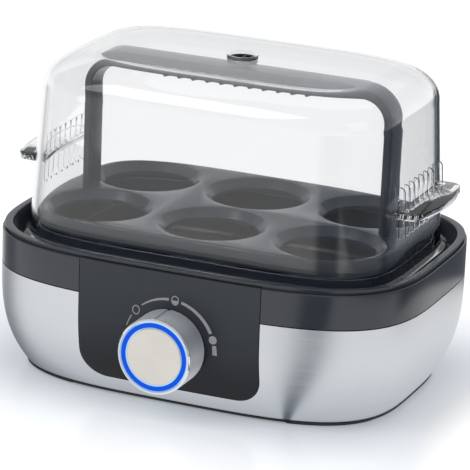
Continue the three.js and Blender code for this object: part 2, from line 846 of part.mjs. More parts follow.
function shoulderRings(wall) {
  const start = lidTop - shoulderRise;
  return Array.from({ length: shoulderSteps + 1 }, (_, step) => {
    const angle = (step / shoulderSteps) * quarterTurn;
    const reach = (shoulderReach - wall) * (1 - Math.cos(angle)) + wall;
    const rise = (shoulderRise - wall) * Math.sin(angle);
    return ring(lidOutline, lidInset(start) + reach, start + rise);
  });
}

function tabShape(side) {
  const root = lidHalfLength - lidInset(tabHeight) - tabEmbed;
  const corner = root + tabEmbed + tabReach - tabBulge;
  const tip = corner + tabBulge;
  const shape = new THREE.Shape();
  shape.moveTo(side * root, -tabHalfWidth);
  shape.lineTo(side * (corner - tabCornerRadius), -tabHalfWidth);
  shape.quadraticCurveTo(side * corner, -tabHalfWidth, side * corner, tabCornerRadius - tabHalfWidth);
  shape.quadraticCurveTo(side * (2 * tip - corner), 0, side * corner, tabHalfWidth - tabCornerRadius);
  shape.quadraticCurveTo(side * corner, tabHalfWidth, side * (corner - tabCornerRadius), tabHalfWidth);
  shape.lineTo(side * root, tabHalfWidth);
  return shape;
}

function gripRibShape(side) {
  const low = tabHeight - ribRise;
  const high = tabHeight + ribRise;
  const wallAt = (z) => lidHalfLength - lidInset(z);
  const outline = [
    [wallAt(low) - tabEmbed, low],
    [wallAt(low) + ribDepth - ribRounding, low],
    [wallAt(low) + ribDepth, low + ribRounding],
    [wallAt(high) + ribDepth, high - ribRounding],
    [wallAt(high) + ribDepth - ribRounding, high],
    [wallAt(high) - tabEmbed, high],
  ];
  return polygon(outline.map(([x, z]) => [side * x, z]));
}

function buildLid() {
  const footTop = lidFoot + footHeight;
  const outside = [
    ring(lidOutline, footFillet / 2 - footFlare, lidFoot),
    ring(lidOutline, -footFlare, lidFoot + footFillet),
    ring(lidOutline, -footFlare, footTop),
    ring(lidOutline, lidInset(footTop), footTop + footFillet),
    ...shoulderRings(0),
  ];
  const inside = [ring(lidOutline, lidWall, lidFoot), ...shoulderRings(lidWall)].reverse();
  const tabs = [-1, 1].map((side) =>
    raised(tabShape(side), tabHeight - tabThickness / 2, tabHeight + tabThickness / 2, 4));
  const ribs = [];
  for (const side of [-1, 1]) {
    for (let index = 0; index < ribCount; index += 1) {
      const y = (index - (ribCount - 1) / 2) * ribPitch;
      ribs.push(acrossDepth(gripRibShape(side), y - ribThickness / 2, y + ribThickness / 2));
    }
  }
  const boss = rod(ventBossRadius, lidTop - lidWall / 2, lidTop + ventBossHeight);
  const ventHole = rod(ventHoleRadius, lidTop - lidWall - overrun, lidTop + ventBossHeight + overrun);
  const moulding = joined(loft([...inside, ...outside], false), ...tabs, ...ribs, boss);
  addPiece("lid", cut(moulding, ventHole), clearPlastic);
}

function buildVentInsert() {
  const outer = ventHoleRadius - seatGap;
  const top = lidTop + ventBossHeight - ventDrop;
  const lipTopEdge = lidTop - lidWall - seatGap;
  const bottom = lipTopEdge - ventLipThickness;
  const body = turned([
    [0, bottom], [ventLipRadius, bottom], [ventLipRadius, lipTopEdge],
    [outer, lipTopEdge], [outer, top], [0, top],
  ]);
  const opening = cut(
    solid(rod(outer - ventWall, bottom - overrun, top + overrun)),
    block(-ventBar / 2, ventBar / 2, -outer, outer, bottom - 2 * overrun, top + 2 * overrun),
  );
  addPiece("vent_insert", solid(body).subtract(opening), blackPlastic);
}

// Tray with six dished seats, and the handle whose tenons drop into it

const seats = [];
for (let column = 0; column < seatColumns; column += 1) {
  for (let row = 0; row < seatRows; row += 1) {
    seats.push([
      (column - (seatColumns - 1) / 2) * seatPitchX,
      (row - (seatRows - 1) / 2) * seatPitchY,
    ]);
  }
}

function buildTray() {
  const inner = trayOuter + trayWall;
  const plateUnderside = trayTop - trayWall;
  const body = loft([
    ring(lidOutline, inner, plateUnderside),
    ring(lidOutline, inner, trayBottom),
    ring(lidOutline, trayOuter, trayBottom),
    ring(lidOutline, trayOuter, traySkirtTop),
    ring(lidOutline, trayOuter + trayEdgeRadius / 3, trayTop - trayEdgeRadius / 3),
    ring(lidOutline, trayOuter + trayEdgeRadius, trayTop),
  ], false);
  const collarLow = seatLip - seatWall;
  const collarHigh = plateUnderside + trayWall / 2;
  const collar = turned([
    [0, collarLow], [seatHoleRadius + seatWall, collarLow], [seatMouthRadius, collarHigh], [0, collarHigh],
  ]);
  const dish = turned([
    [0, collarLow - overrun], [seatHoleRadius, collarLow - overrun], [seatHoleRadius, seatLip],
    [seatMouthRadius, trayTop], [seatMouthRadius, trayTop + overrun], [0, trayTop + overrun],
  ]);
  const seatCollars = seats.map(([x, y]) => collar.clone().translate(x, y, 0));
  const seatDishes = seats.map(([x, y]) => dish.clone().translate(x, y, 0));
  const legMiddle = handleHalfSpan - handleThickness / 2;
  const slotHalf = tenonThickness / 2 + seatGap;
  const slotSide = tenonWidth / 2 + seatGap;
  const slots = [-legMiddle, legMiddle].map((x) =>
    block(x - slotHalf, x + slotHalf, -slotSide, slotSide, plateUnderside - overrun, trayTop + overrun));
  addPiece("egg_tray", cut(joined(body, ...seatCollars), ...seatDishes, ...slots), trayPlastic);
}

function buildHandle() {
  const legBottom = trayTop + seatGap;
  const innerHalf = handleHalfSpan - handleThickness;
  const innerTop = handleTop - handleThickness;
  const innerRadius = handleCornerRadius - handleThickness;
  const cornerX = handleHalfSpan - handleCornerRadius;
  const cornerZ = handleTop - handleCornerRadius;
  const arch = new THREE.Shape();
  arch.moveTo(handleHalfSpan, legBottom);
  arch.lineTo(handleHalfSpan, cornerZ);
  arch.absarc(cornerX, cornerZ, handleCornerRadius, 0, quarterTurn);
  arch.absarc(-cornerX, cornerZ, handleCornerRadius, quarterTurn, Math.PI);
  arch.lineTo(-handleHalfSpan, legBottom);
  arch.lineTo(-innerHalf, legBottom);
  arch.absarc(-cornerX, cornerZ, innerRadius, Math.PI, quarterTurn, true);
  arch.absarc(cornerX, cornerZ, innerRadius, quarterTurn, 0, true);
  arch.lineTo(innerHalf, legBottom);
  const bow = acrossDepth(arch, -handleWidth / 2, handleWidth / 2, handleCornerSteps);
  const legMiddle = handleHalfSpan - handleThickness / 2;
  const tenons = [-legMiddle, legMiddle].map((x) => block(
    x - tenonThickness / 2, x + tenonThickness / 2, -tenonWidth / 2, tenonWidth / 2,
    legBottom - tenonDepth, legBottom + tenonThickness,
  ));
  const gripRibs = Array.from({ length: gripRibCount }, (_, index) => {
    const x = (index - (gripRibCount - 1) / 2) * gripRibPitch;
    const section = polygon([
      [x - gripRibWidth / 2, innerTop + handleThickness / 4], [x - gripRibWidth / 2, innerTop],
      [x, innerTop - gripRibHeight], [x + gripRibWidth / 2, innerTop],
      [x + gripRibWidth / 2, innerTop + handleThickness / 4],
    ]);
    return acrossDepth(section, -handleWidth / 2, handleWidth / 2);
  });
  addPiece("tray_handle", joined(bow, ...tenons, ...gripRibs), trayPlastic);
}

// Knob, turned about an axis that points forward: in this group Z is the distance before the body's middle

const knobGroup = new THREE.Group();
knobGroup.position.set(knobOffset, 0, knobHeight);
knobGroup.rotation.x = quarterTurn;
cooker.add(knobGroup);

// What lies beyond the flat along a D-shaped shaft or bore
function flatSide(radius, low, high) {
  return block(-radius - overrun, radius + overrun, radius - shaftFlat, radius + overrun, low, high);
}

function buildKnob() {
  const faceFront = knobFront - faceSetback;
  const faceBack = faceFront - faceThickness;
  const bezelBack = knobFront - bezelDepth;
  const sleeve = tube(sleeveInner, knobRadius, knobBack, bezelBack - seatGap, knobSteps);
  const pointer = block(
    -pointerWidth / 2, pointerWidth / 2, knobRadius - pointerDepth, knobRadius + overrun,
    knobBack - overrun, bezelBack,
  );
  addPiece("knob_sleeve", cut(solid(sleeve), pointer), knobMetal, knobGroup);

  const bezel = turned([
    [sleeveInner - seatGap / 2, bezelBack], [knobRadius, bezelBack], [knobRadius, knobFront - bezelChamfer],
    [knobRadius - bezelChamfer, knobFront], [sleeveInner, knobFront],
    [sleeveInner - seatGap / 2, bezelBack],
  ], knobSteps);
  addPiece("knob_bezel", bezel, chrome, knobGroup);

  const ringBack = knobBack + seatGap;
  const ringFront = knobFront - lightRingSetback;
  const boreRadius = shaftRadius + seatGap;
  const lightRing = turned([
    [boreRadius, ringBack], [lightRingOuter - seatGap, ringBack], [lightRingOuter - seatGap, ringFront],
    [lightRingInner, ringFront], [lightRingInner, lightRingFlangeTop], [boreRadius, lightRingFlangeTop],
    [boreRadius, ringBack],
  ], knobSteps);
  addPiece("knob_light_ring", lightRing, blueLight, knobGroup);

  const face = turned([
    [0, faceBack], [faceRadius, faceBack], [faceRadius, faceFront - faceDish / 2],
    [faceRadius - faceDish, faceFront], [0, faceFront - faceDish],
  ], knobSteps);
  addPiece("knob_face", face, knobMetal, knobGroup);

  const hubBack = lightRingFlangeTop + seatGap;
  const hubFront = faceBack - seatGap;
  const shaftTip = hubFront - shaftTipGap;
  const hubBore = cut(
    solid(rod(boreRadius, hubBack - overrun, shaftTip + seatGap)),
    flatSide(boreRadius, hubBack - 2 * overrun, hubFront),
  );
  addPiece("knob_hub", solid(rod(hubRadius, hubBack, hubFront)).subtract(hubBore), blackPlastic, knobGroup);

  const shaft = cut(
    solid(rod(shaftRadius, encoderFront - shaftTail, shaftTip)),
    flatSide(shaftRadius, hubBack, shaftTip + overrun),
  );
  addPiece("knob_shaft", shaft, zincSteel, knobGroup);
}

// Board behind the panel with the encoder, light guide, relay and buzzer, and the two screws that hold it

function buildBoard() {
  const holes = [-panelScrewX, panelScrewX].map((x) => {
    const hole = rod(boardScrewRadius + seatGap, boardRear - overrun, boardFront + overrun, screwSteps);
    return hole.rotateX(quarterTurn).translate(x, 0, panelScrewZ);
  });
  const board = block(-boardHalfWidth, boardHalfWidth, -boardFront, -boardRear, boardBottom, boardTop);
  addPiece("circuit_board", cut(solid(board), ...holes), boardGreen);

  const headBack = boardRear - seatGap;
  const tip = headBack + boardScrewLength;
  const screw = turned([
    [0, headBack - boardScrewHeadHeight], [boardScrewHeadRadius, headBack - boardScrewHeadHeight],
    [boardScrewHeadRadius, headBack], [boardScrewRadius, headBack], [boardScrewRadius, tip], [0, tip],
  ], screwSteps).rotateX(quarterTurn);
  addPiece("board_screw_left", screw, zincSteel).position.set(-panelScrewX, 0, panelScrewZ);
  addPiece("board_screw_right", screw, zincSteel).position.set(panelScrewX, 0, panelScrewZ);

  const half = encoderSize / 2;
  const bushingTip = encoderFront + bushingLength;
  const boreBottom = encoderFront - shaftTail - runningGap;
  const shaftBore = rod(shaftRadius + runningGap, boreBottom, bushingTip + overrun);
  const encoder = cut(joined(
    block(-half, half, -half, half, encoderBack, encoderFront),
    rod(bushingRadius, encoderFront - encoderDepth / 2, bushingTip),
  ), shaftBore);
  addPiece("rotary_encoder", encoder, blackPlastic, knobGroup);
  const guide = tube(bushingRadius + seatGap, guideRadius, encoderFront + seatGap, bodyHalfWidth);
  addPiece("light_guide", guide, clearPlastic, knobGroup);

  const partBack = seatGap - boardRear;
  const relay = block(
    relayX - relayWidth / 2, relayX + relayWidth / 2, partBack, partBack + relayDepth,
    relayZ - relayHeight / 2, relayZ + relayHeight / 2,
  );
  addPiece("relay", relay, blackPlastic);
  const buzzerCase = cut(
    solid(rod(buzzerRadius, 0, buzzerDepth)),
    rod(buzzerHoleRadius, buzzerDepth / 2, buzzerDepth + overrun, screwSteps),
  );
  const buzzer = addPiece("buzzer", buzzerCase, blackPlastic);
  buzzer.rotation.x = -quarterTurn;
  buzzer.position.set(buzzerX, partBack, buzzerZ);
}

// Mains side: bush in the rear wall, terminal block on the floor and the wires to the board and the heater

function buildMains() {
  const flangeBack = wallReach(glandX, glandZ + glandFlangeRadius) + seatGap;
  const flangeFront = flangeBack + glandFlangeThickness;
  const gland = turned([
    [glandBore, flangeBack - glandInside], [glandBarrelRadius, flangeBack - glandInside],
    [glandBarrelRadius, flangeBack], [glandFlangeRadius, flangeBack],
    [glandFlangeRadius, flangeFront - glandFlangeThickness / 3],
    [glandFlangeRadius - glandFlangeThickness / 3, flangeFront], [glandBore, flangeFront],
    [glandBore, flangeBack - glandInside],
  ]).rotateX(-quarterTurn);
  addPiece("mains_gland", gland, blackPlastic).position.set(glandX, 0, glandZ);

  const blockLow = floorTop + seatGap;
  const blockTop = blockLow + terminalHeight;
  const halfLength = terminalLength / 2;
  const halfWidth = terminalWidth / 2;
  const body = block(-halfLength, halfLength, -halfWidth, halfWidth, blockLow, blockTop);
  const wayPitch = terminalLength / terminalWays;
  const notches = Array.from({ length: terminalWays - 1 }, (_, way) => {
    const x = (way + 1) * wayPitch - halfLength;
    return block(
      x - terminalNotch / 2, x + terminalNotch / 2, -halfWidth - overrun, halfWidth + overrun,
      blockTop - terminalNotch, blockTop + overrun,
    );
  });
  addPiece("terminal_block", cut(solid(body), ...notches), ceramic).position.set(terminalX, terminalY, 0);
}

function buildLeads() {
  const blockFace = terminalY - terminalWidth / 2 - seatGap;
  const wayHeight = floorTop + seatGap + terminalHeight / 2;
  const low = floorTop + leadDrop;
  const boardSide = seatGap - boardRear;
  const terminalEnd = elementHeight - elementTerminalDrop - seatGap;
  const lead = (name, points, material) =>
    addPiece(name, alongPath(points, leadRadius, leadSides, leadSteps), material);
  const mainsRoute = (start, landing) => [
    [start, blockFace, wayHeight],
    [start, blockFace - leadSpread, wayHeight],
    [start, 0, low],
    [landing, -boardRear / 2, low],
    [landing, boardSide + 2 * leadSpread, leadLanding],
    [landing, boardSide, leadLanding],
  ];
  const firstLanding = leadSpread - boardHalfWidth;
  lead("mains_lead_live", mainsRoute(terminalX - leadSpread, firstLanding), wireBrown);
  lead("mains_lead_neutral", mainsRoute(terminalX + leadSpread, firstLanding + leadSpread), wireBlue);
  const heaterRoute = (x) => [
    [x, -elementHalfWidth, terminalEnd],
    [x, -elementHalfWidth, terminalEnd - leadSpread],
    [x, boardSide + 2 * leadSpread, boardBottom + leadSpread / 2],
    [x, boardSide, boardBottom + leadSpread / 2],
  ];
  lead("heater_lead_live", heaterRoute(-elementTerminalX), wireBrown);
  lead("heater_lead_neutral", heaterRoute(elementTerminalX), wireBlue);
}

buildSteelShell();
buildRim();
buildPanel();
buildFloor();
buildFeet();
buildDish();
buildHeater();
buildStrap();
buildSensors();
buildLid();
buildVentInsert();
buildTray();
buildHandle();
buildKnob();
buildBoard();
buildMains();
buildLeads();

// The middle of the footprint goes to the origin
const footprint = new THREE.Box3().setFromObject(cooker);
const middle = footprint.getCenter(new THREE.Vector3());
cooker.position.set(-middle.x, -middle.y, -footprint.min.z);

export default cooker;
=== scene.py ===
import math

import bmesh
import bpy
import numpy as np
from mathutils import Matrix, Vector


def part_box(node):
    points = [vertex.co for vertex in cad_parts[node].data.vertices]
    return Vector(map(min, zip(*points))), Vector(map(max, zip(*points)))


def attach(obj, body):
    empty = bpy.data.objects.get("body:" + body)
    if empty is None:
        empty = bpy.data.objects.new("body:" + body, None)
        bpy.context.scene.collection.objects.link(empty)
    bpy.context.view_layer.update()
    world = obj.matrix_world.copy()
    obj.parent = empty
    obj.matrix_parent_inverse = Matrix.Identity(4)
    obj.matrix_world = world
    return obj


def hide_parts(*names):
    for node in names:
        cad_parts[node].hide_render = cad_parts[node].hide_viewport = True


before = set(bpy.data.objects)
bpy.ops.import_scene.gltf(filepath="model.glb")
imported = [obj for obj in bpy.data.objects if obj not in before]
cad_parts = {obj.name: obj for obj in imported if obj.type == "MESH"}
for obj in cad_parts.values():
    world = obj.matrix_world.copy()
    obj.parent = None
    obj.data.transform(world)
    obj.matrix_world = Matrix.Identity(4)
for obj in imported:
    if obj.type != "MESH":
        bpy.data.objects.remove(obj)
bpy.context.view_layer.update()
mm = 0.001

# Floor of the body
# A black moulded plate that closes the body from below. Its thin edge shows under the steel, an upstand
# inside the wall centres it, and four posts stand over the sunk screws that pull it up against the rim.

plate_low, plate_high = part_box("base_plate")
middle = (plate_low.y + plate_high.y) / 2
body_outline = {"half_length": 90.9 * mm, "half_width": 66.8 * mm, "corner_power": 3.6}
tuck_in = 9.9 * mm
steel_wall = 0.8 * mm
seat_gap = 0.3 * mm
overrun = 2 * mm
screw_hole = 1.8 * mm
head_recess = 3.2 * mm


def outline_point(outline, inset, angle):
    """A point of a superellipse round the body's middle."""
    power = 2 / outline["corner_power"]
    cosine, sine = math.cos(angle), math.sin(angle)
    x = (outline["half_length"] - inset) * math.copysign(abs(cosine) ** power, cosine)
    y = (outline["half_width"] - inset) * math.copysign(abs(sine) ** power, sine)
    return x, y + middle


def even_angles(outline, steps, extra=()):
    """Angles whose points lie evenly spaced along the outline, with a few more where they are wanted."""
    fine = np.linspace(0, 2 * math.pi, 6001)
    points = np.array([outline_point(outline, 0, angle) for angle in fine])
    walked = np.concatenate([[0], np.cumsum(np.linalg.norm(np.diff(points, axis=0), axis=1))])
    even = np.interp(np.linspace(0, walked[-1], steps + 1)[:-1], walked, fine)
    return np.sort(np.concatenate([even, extra]))


def ring(outline, inset, z, angles):
    return np.array([(*outline_point(outline, inset, angle), z) for angle in angles])


def loft(rings, closed=False):
    """The skin through the rings: closed joins the last to the first, otherwise both ends are capped."""
    count, steps = len(rings), len(rings[0])
    faces = []
    for row in range(count if closed else count - 1):
        low, high = row * steps, (row + 1) % count * steps
        for step in range(steps):
            after = (step + 1) % steps
            faces.append((low + step, low + after, high + after, high + step))
    if not closed:
        faces.append(tuple(reversed(range(steps))))
        faces.append(tuple(range((count - 1) * steps, count * steps)))
    return np.concatenate(rings), faces


def filleted(corners, cyclic=False, steps=5):
    """A profile through corners of (across, height, radius), each rounded by its radius if it has one."""
    spots = [np.array(corner[:2], float) for corner in corners]
    profile = []
    for index, corner in enumerate(corners):
        here = spots[index]
        is_end = not cyclic and index in (0, len(corners) - 1)
        if len(corner) < 3 or is_end:
            profile.append(tuple(here))
            continue
        before = spots[index - 1] - here
        after = spots[(index + 1) % len(spots)] - here
        before_length, after_length = np.linalg.norm(before), np.linalg.norm(after)
        before, after = before / before_length, after / after_length
        half_angle = math.acos(np.clip(before @ after, -1, 1)) / 2
        reach = min(corner[2] / math.tan(half_angle), before_length * 0.49, after_length * 0.49)
        start, end = here + before * reach, here + after * reach
        for share in np.linspace(0, 1, steps + 1):
            spot = (1 - share) ** 2 * start + 2 * share * (1 - share) * here + share**2 * end
            profile.append(tuple(spot))
    return profile


def turned(corners, steps, fillet_steps):
    """A round solid about Z from a closed profile of (radius, height, fillet) corners."""
    angles = np.linspace(0, 2 * math.pi, steps, endpoint=False)
    rings = [
        np.array([(radius * math.cos(angle), radius * math.sin(angle), z) for angle in angles])
        for radius, z in filleted(corners, cyclic=True, steps=fillet_steps)
    ]
    return loft(rings, closed=True)


def tidy(piece):
    """Merges double points and turns the faces outwards."""
    shape = bmesh.new()
    shape.from_mesh(piece.data)
    bmesh.ops.remove_doubles(shape, verts=shape.verts, dist=1e-7)
    bmesh.ops.dissolve_degenerate(shape, edges=shape.edges, dist=1e-7)
    bmesh.ops.recalc_face_normals(shape, faces=shape.faces)
    shape.to_mesh(piece.data)
    shape.free()


def new_object(name, data):
    """An object in the scene that shows this data."""
    made = bpy.data.objects.new(name, data)
    bpy.context.scene.collection.objects.link(made)
    return made


def new_piece(name, points, faces):
    """A piece from its points and faces."""
    mesh = bpy.data.meshes.new(name)
    mesh.from_pydata([tuple(point) for point in points], [], faces)
    piece = new_object(name, mesh)
    tidy(piece)
    return piece


def turned_piece(name, corners, place, steps=96, fillet_steps=4):
    """A round piece from a profile, put in its place by a function."""
    points, faces = turned(corners, steps, fillet_steps)
    return new_piece(name, place(points), faces)


def upright_at(x, y):
    """Moves an upright shape to its place."""
    return lambda points: points + (x, y, 0)


def skin(name, outline, profile, angles, closed=False):
    """A piece whose profile of (inset, height) runs round an outline."""
    return new_piece(name, *loft([ring(outline, inset, z, angles) for inset, z in profile], closed))


def apply_modifiers(piece):
    """Turns the piece with its modifiers into a plain mesh."""
    bpy.context.view_layer.update()
    shown = bpy.context.evaluated_depsgraph_get()
    mesh = bpy.data.meshes.new_from_object(piece.evaluated_get(shown))
    piece.modifiers.clear()
    piece.data = mesh


def combine(piece, others, operation):
    """Joins the others to the piece, or cuts them out of it, and removes them."""
    for other in others:
        modifier = piece.modifiers.new("combine", "BOOLEAN")
        modifier.operation = operation
        modifier.solver = "EXACT"
        modifier.object = other
        apply_modifiers(piece)
        bpy.data.objects.remove(other)


def finish(piece, material, body, nodes=(), crease=32):
    """Gives the piece its material and shading and its body, and hides the CAD nodes that it stands for."""
    piece.data.materials.clear()
    piece.data.materials.append(material)
    piece.data.shade_smooth()
    piece.data.set_sharp_from_angle(angle=math.radians(crease))
    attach(piece, body)
    if nodes:
        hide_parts(*nodes)


def fill(tree, socket, value):
    """Gives a socket a value, or links it to another node's output."""
    if isinstance(value, bpy.types.NodeSocket):
        tree.links.new(value, socket)
    else:
        socket.default_value = value


def feed(node, **inputs):
    """Fills a node's inputs by their names, with _ for a space."""
    for name, value in inputs.items():
        fill(node.id_data, node.inputs[name.replace("_", " ")], value)


def add(tree, kind, settings=None, **inputs):
    """A new node with its settings and inputs."""
    made = tree.nodes.new(kind)
    for name, value in (settings or {}).items():
        setattr(made, name, value)
    feed(made, **inputs)
    return made


def calculator(tree):
    """Sums in a tree: calc("ADD", a, b), where each is a number or another node's output."""

    def calc(operation, *values):
        made = tree.nodes.new("ShaderNodeMath")
        made.operation = operation
        for socket, value in zip(made.inputs, values):
            fill(tree, socket, value)
        return made.outputs[0]

    return calc


def grained(name, colour, roughness, grain, depth, shade=0.12, gloss=0.05, detail=3.0, **constants):
    """A surface whose colour, gloss and height follow a fine grain over a broad cloudiness."""
    material = bpy.data.materials.new(name)
    material.use_nodes = True
    tree = material.node_tree
    calc = calculator(tree)
    place = add(tree, "ShaderNodeTexCoord").outputs["Object"]
    stretched = add(tree, "ShaderNodeMapping", Vector=place, Scale=grain).outputs[0]
    fine = add(tree, "ShaderNodeTexNoise", Vector=stretched, Scale=1.0, Detail=detail, Roughness=0.6)
    broad = add(tree, "ShaderNodeTexNoise", Vector=place, Scale=35.0, Detail=2.0)
    cloud = calc("MULTIPLY", broad.outputs["Fac"], 0.25)
    blend = calc("MULTIPLY_ADD", fine.outputs["Fac"], 0.75, cloud)
    ramp = add(tree, "ShaderNodeValToRGB", Fac=blend)
    for element, share, way in zip(ramp.color_ramp.elements, (0.25, 0.75), (-1, 1)):
        element.position = share
        element.color = (*[min(1, channel * (1 + way * shade)) for channel in colour], 1)
    rough = calc("MULTIPLY_ADD", calc("SUBTRACT", blend, 0.5), 5 * gloss, roughness)
    bump = add(tree, "ShaderNodeBump", Height=fine.outputs["Fac"], Strength=1.0, Distance=depth)
    feed(
        tree.nodes["Principled BSDF"], Base_Color=ramp.outputs["Color"], Roughness=rough,
        Normal=bump.outputs[0], **constants,
    )
    return material


black_plastic = grained("black_plastic", (0.012, 0.012, 0.014), 0.5, (1400, 1400, 1400), 0.012 * mm)
body_angles = even_angles(body_outline, 240)
upstand_inset = tuck_in + steel_wall + seat_gap
floor_profile = filleted([
    (tuck_in + 6 * mm, 0.8 * mm),
    (tuck_in, 0.8 * mm, 0.3 * mm),
    (tuck_in, 1.7 * mm, 0.1 * mm),
    (upstand_inset, 1.7 * mm),
    (upstand_inset, 4.9 * mm, 0.3 * mm),
    (upstand_inset + 1.8 * mm, 4.9 * mm, 0.3 * mm),
    (upstand_inset + 1.8 * mm, 2.8 * mm, 0.4 * mm),
    (upstand_inset + 6 * mm, 2.8 * mm),
])
floor_plate = skin("floor_plate", body_outline, floor_profile, body_angles)
foot_inset = tuck_in + 1.2 * mm
foot_width = 8 * mm
screw_x, screw_y = outline_point(body_outline, foot_inset + foot_width / 2, math.pi / 4)
screw_places = [(side * screw_x, middle + end * (screw_y - middle)) for end in (-1, 1) for side in (-1, 1)]


def rods_at_screws(radius, low, high, fillet=0.0):
    """One upright rod for each screw."""
    corners = [(0, low), (radius, low), (radius, high, fillet), (0, high)]
    return [turned_piece("rod", corners, upright_at(x, y), steps=48) for x, y in screw_places]


combine(floor_plate, rods_at_screws(4.2 * mm, 2.4 * mm, 17.4 * mm, 0.4 * mm), "UNION")
combine(floor_plate, rods_at_screws(screw_hole, -overrun, 24 * mm), "DIFFERENCE")
combine(floor_plate, rods_at_screws(head_recess, -overrun, 2.2 * mm), "DIFFERENCE")
finish(floor_plate, black_plastic, "base", ["base_plate"])

# Feet
# Four thin curved pads of black rubber, stuck under the corners of the floor. Each has a hole round the head
# of the zinc screw that goes up from there through the floor into the rim.

foot_height = 0.5 * mm
foot_spread = 0.248 * math.pi / 2
rubber = grained("rubber", (0.009, 0.009, 0.01), 0.8, (2600, 2600, 2600), 0.02 * mm, gloss=0.1)
zinc = grained("zinc_plate", (0.62, 0.63, 0.58), 0.34, (500, 500, 500), 0.004 * mm, Metallic=1.0)


def prism(outline, low, high):
    """An upright prism over a closed outline of (x, y) points."""
    return loft([np.array([(x, y, z) for x, y in outline]) for z in (low, high)])


def round_edges(piece, width, segments=2, angle=35):
    modifier = piece.modifiers.new("edges", "BEVEL")
    modifier.width = width
    modifier.segments = segments
    modifier.limit_method = "ANGLE"
    modifier.angle_limit = math.radians(angle)
    apply_modifiers(piece)


def foot_outline(side, end):
    """The plan of a foot: a strip along the body's outline with rounded ends."""
    strip = []
    for inset, way in ((foot_inset, 1), (foot_inset + foot_width, -1)):
        for share in np.linspace(-1, 1, 19)[::way]:
            x, y = outline_point(body_outline, inset, math.pi / 4 + foot_spread * share)
            strip.append((side * x, middle + end * (y - middle)))
    ends = (0, 18, 19, 37)
    return filleted([(*spot, 1.6 * mm) if i in ends else spot for i, spot in enumerate(strip)], cyclic=True)


for side, side_name in ((-1, "left"), (1, "right")):
    for end, end_name in ((-1, "front"), (1, "rear")):
        foot = new_piece(f"foot_{end_name}_{side_name}", *prism(foot_outline(side, end), 0, foot_height))
        round_edges(foot, 0.15 * mm, 3, 50)
        corners = [(0, -overrun), (head_recess, -overrun), (head_recess, overrun), (0, overrun)]
        place = upright_at(side * screw_x, middle + end * (screw_y - middle))
        combine(foot, [turned_piece("hole", corners, place, steps=48)], "DIFFERENCE")
        finish(foot, rubber, "base", [f"{end_name}_{side_name}_foot"])


def new_tree(name, **inputs):
    """An empty geometry tree with these named inputs and a material, and the node that hands them over."""
    tree = bpy.data.node_groups.new(name, "GeometryNodeTree")
    tree.interface.new_socket("Geometry", in_out="OUTPUT", socket_type="NodeSocketGeometry")
    for label, value in inputs.items():
        kind = "NodeSocketInt" if isinstance(value, int) else "NodeSocketFloat"
        socket = tree.interface.new_socket(label.replace("_", " "), in_out="INPUT", socket_type=kind)
        socket.default_value = value
    tree.interface.new_socket("Finish", in_out="INPUT", socket_type="NodeSocketMaterial")
    return tree, tree.nodes.new("NodeGroupInput").outputs


def close_tree(tree, geometry, finish_input):
    """Ends a tree: what it made becomes one real mesh with its material."""
    plain = add(tree, "GeometryNodeRealizeInstances", Geometry=geometry)
    coated = add(tree, "GeometryNodeSetMaterial", Geometry=plain.outputs[0], Material=finish_input)
    output = tree.nodes.new("NodeGroupOutput")
    tree.links.new(coated.outputs[0], output.inputs[0])


def grown(name, tree, material, **inputs):
    """A plain mesh made by a geometry tree from these inputs."""
    piece = new_piece(name, [], [])
    modifier = piece.modifiers.new("shape", "NODES")
    modifier.node_group = tree
    for item in tree.interface.items_tree:
        if item.in_out == "INPUT":
            label = item.name.replace(" ", "_")
            modifier[item.identifier] = material if label == "Finish" else inputs[label]
    apply_modifiers(piece)
    return piece


def screw_tree():
    """A screw that stands on its flat head, with a cross recess pressed into the head."""
    tree, sizes = new_tree(
        "base_screw", Head_Radius=0.003, Head_Height=0.001, Shank_Radius=0.001, Length=0.02
    )
    calc = calculator(tree)
    rods = []
    for radius, depth, centre in (
        (sizes["Head Radius"], sizes["Head Height"], calc("MULTIPLY", sizes["Head Height"], 0.5)),
        (sizes["Shank Radius"], sizes["Length"],
         calc("MULTIPLY_ADD", sizes["Length"], 0.5, calc("MULTIPLY", sizes["Head Height"], 0.9))),
    ):
        rod = add(tree, "GeometryNodeMeshCylinder", Vertices=32, Radius=radius, Depth=depth)
        lift = add(tree, "ShaderNodeCombineXYZ", Z=centre)
        rods.append(add(tree, "GeometryNodeTransform", Geometry=rod.outputs["Mesh"],
                        Translation=lift.outputs[0]).outputs[0])
    whole = add(tree, "GeometryNodeMeshBoolean", {"operation": "UNION"})
    for rod in rods:
        tree.links.new(rod, whole.inputs["Mesh 2"])
    wide = calc("MULTIPLY", sizes["Head Radius"], 1.2)
    slim = calc("MULTIPLY", sizes["Head Radius"], 0.22)
    cross = add(tree, "GeometryNodeMeshBoolean", {"operation": "DIFFERENCE"}, Mesh_1=whole.outputs["Mesh"])
    for across, deep in ((wide, slim), (slim, wide)):
        size = add(tree, "ShaderNodeCombineXYZ", X=across, Y=deep, Z=sizes["Head Height"])
        bar = add(tree, "GeometryNodeMeshCube", Size=size.outputs[0])
        tree.links.new(bar.outputs["Mesh"], cross.inputs["Mesh 2"])
    close_tree(tree, cross.outputs["Mesh"], sizes["Finish"])
    return tree


screw_shape = screw_tree()
for index, (x, y) in enumerate(screw_places):
    screw_low, screw_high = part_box(f"base_screw_{index + 1}")
    screw = grown(
        f"floor_screw_{index + 1}", screw_shape, zinc, Head_Radius=2.9 * mm, Head_Height=1.6 * mm,
        Shank_Radius=1.5 * mm, Length=screw_high.z - screw_low.z - 1.5 * mm,
    )
    centre = (screw_low + screw_high) / 2
    screw.data.transform(Matrix.Translation((centre.x, centre.y, screw_low.z)))
    finish(screw, zinc, "base", [f"base_screw_{index + 1}"])

# Steel wall
# A band of stainless steel 0.8 mm thick, brushed round the body and drawn in towards the floor, with a
# round-cornered window at the front. It stands on the floor, and the rim's tongue reaches down inside it.

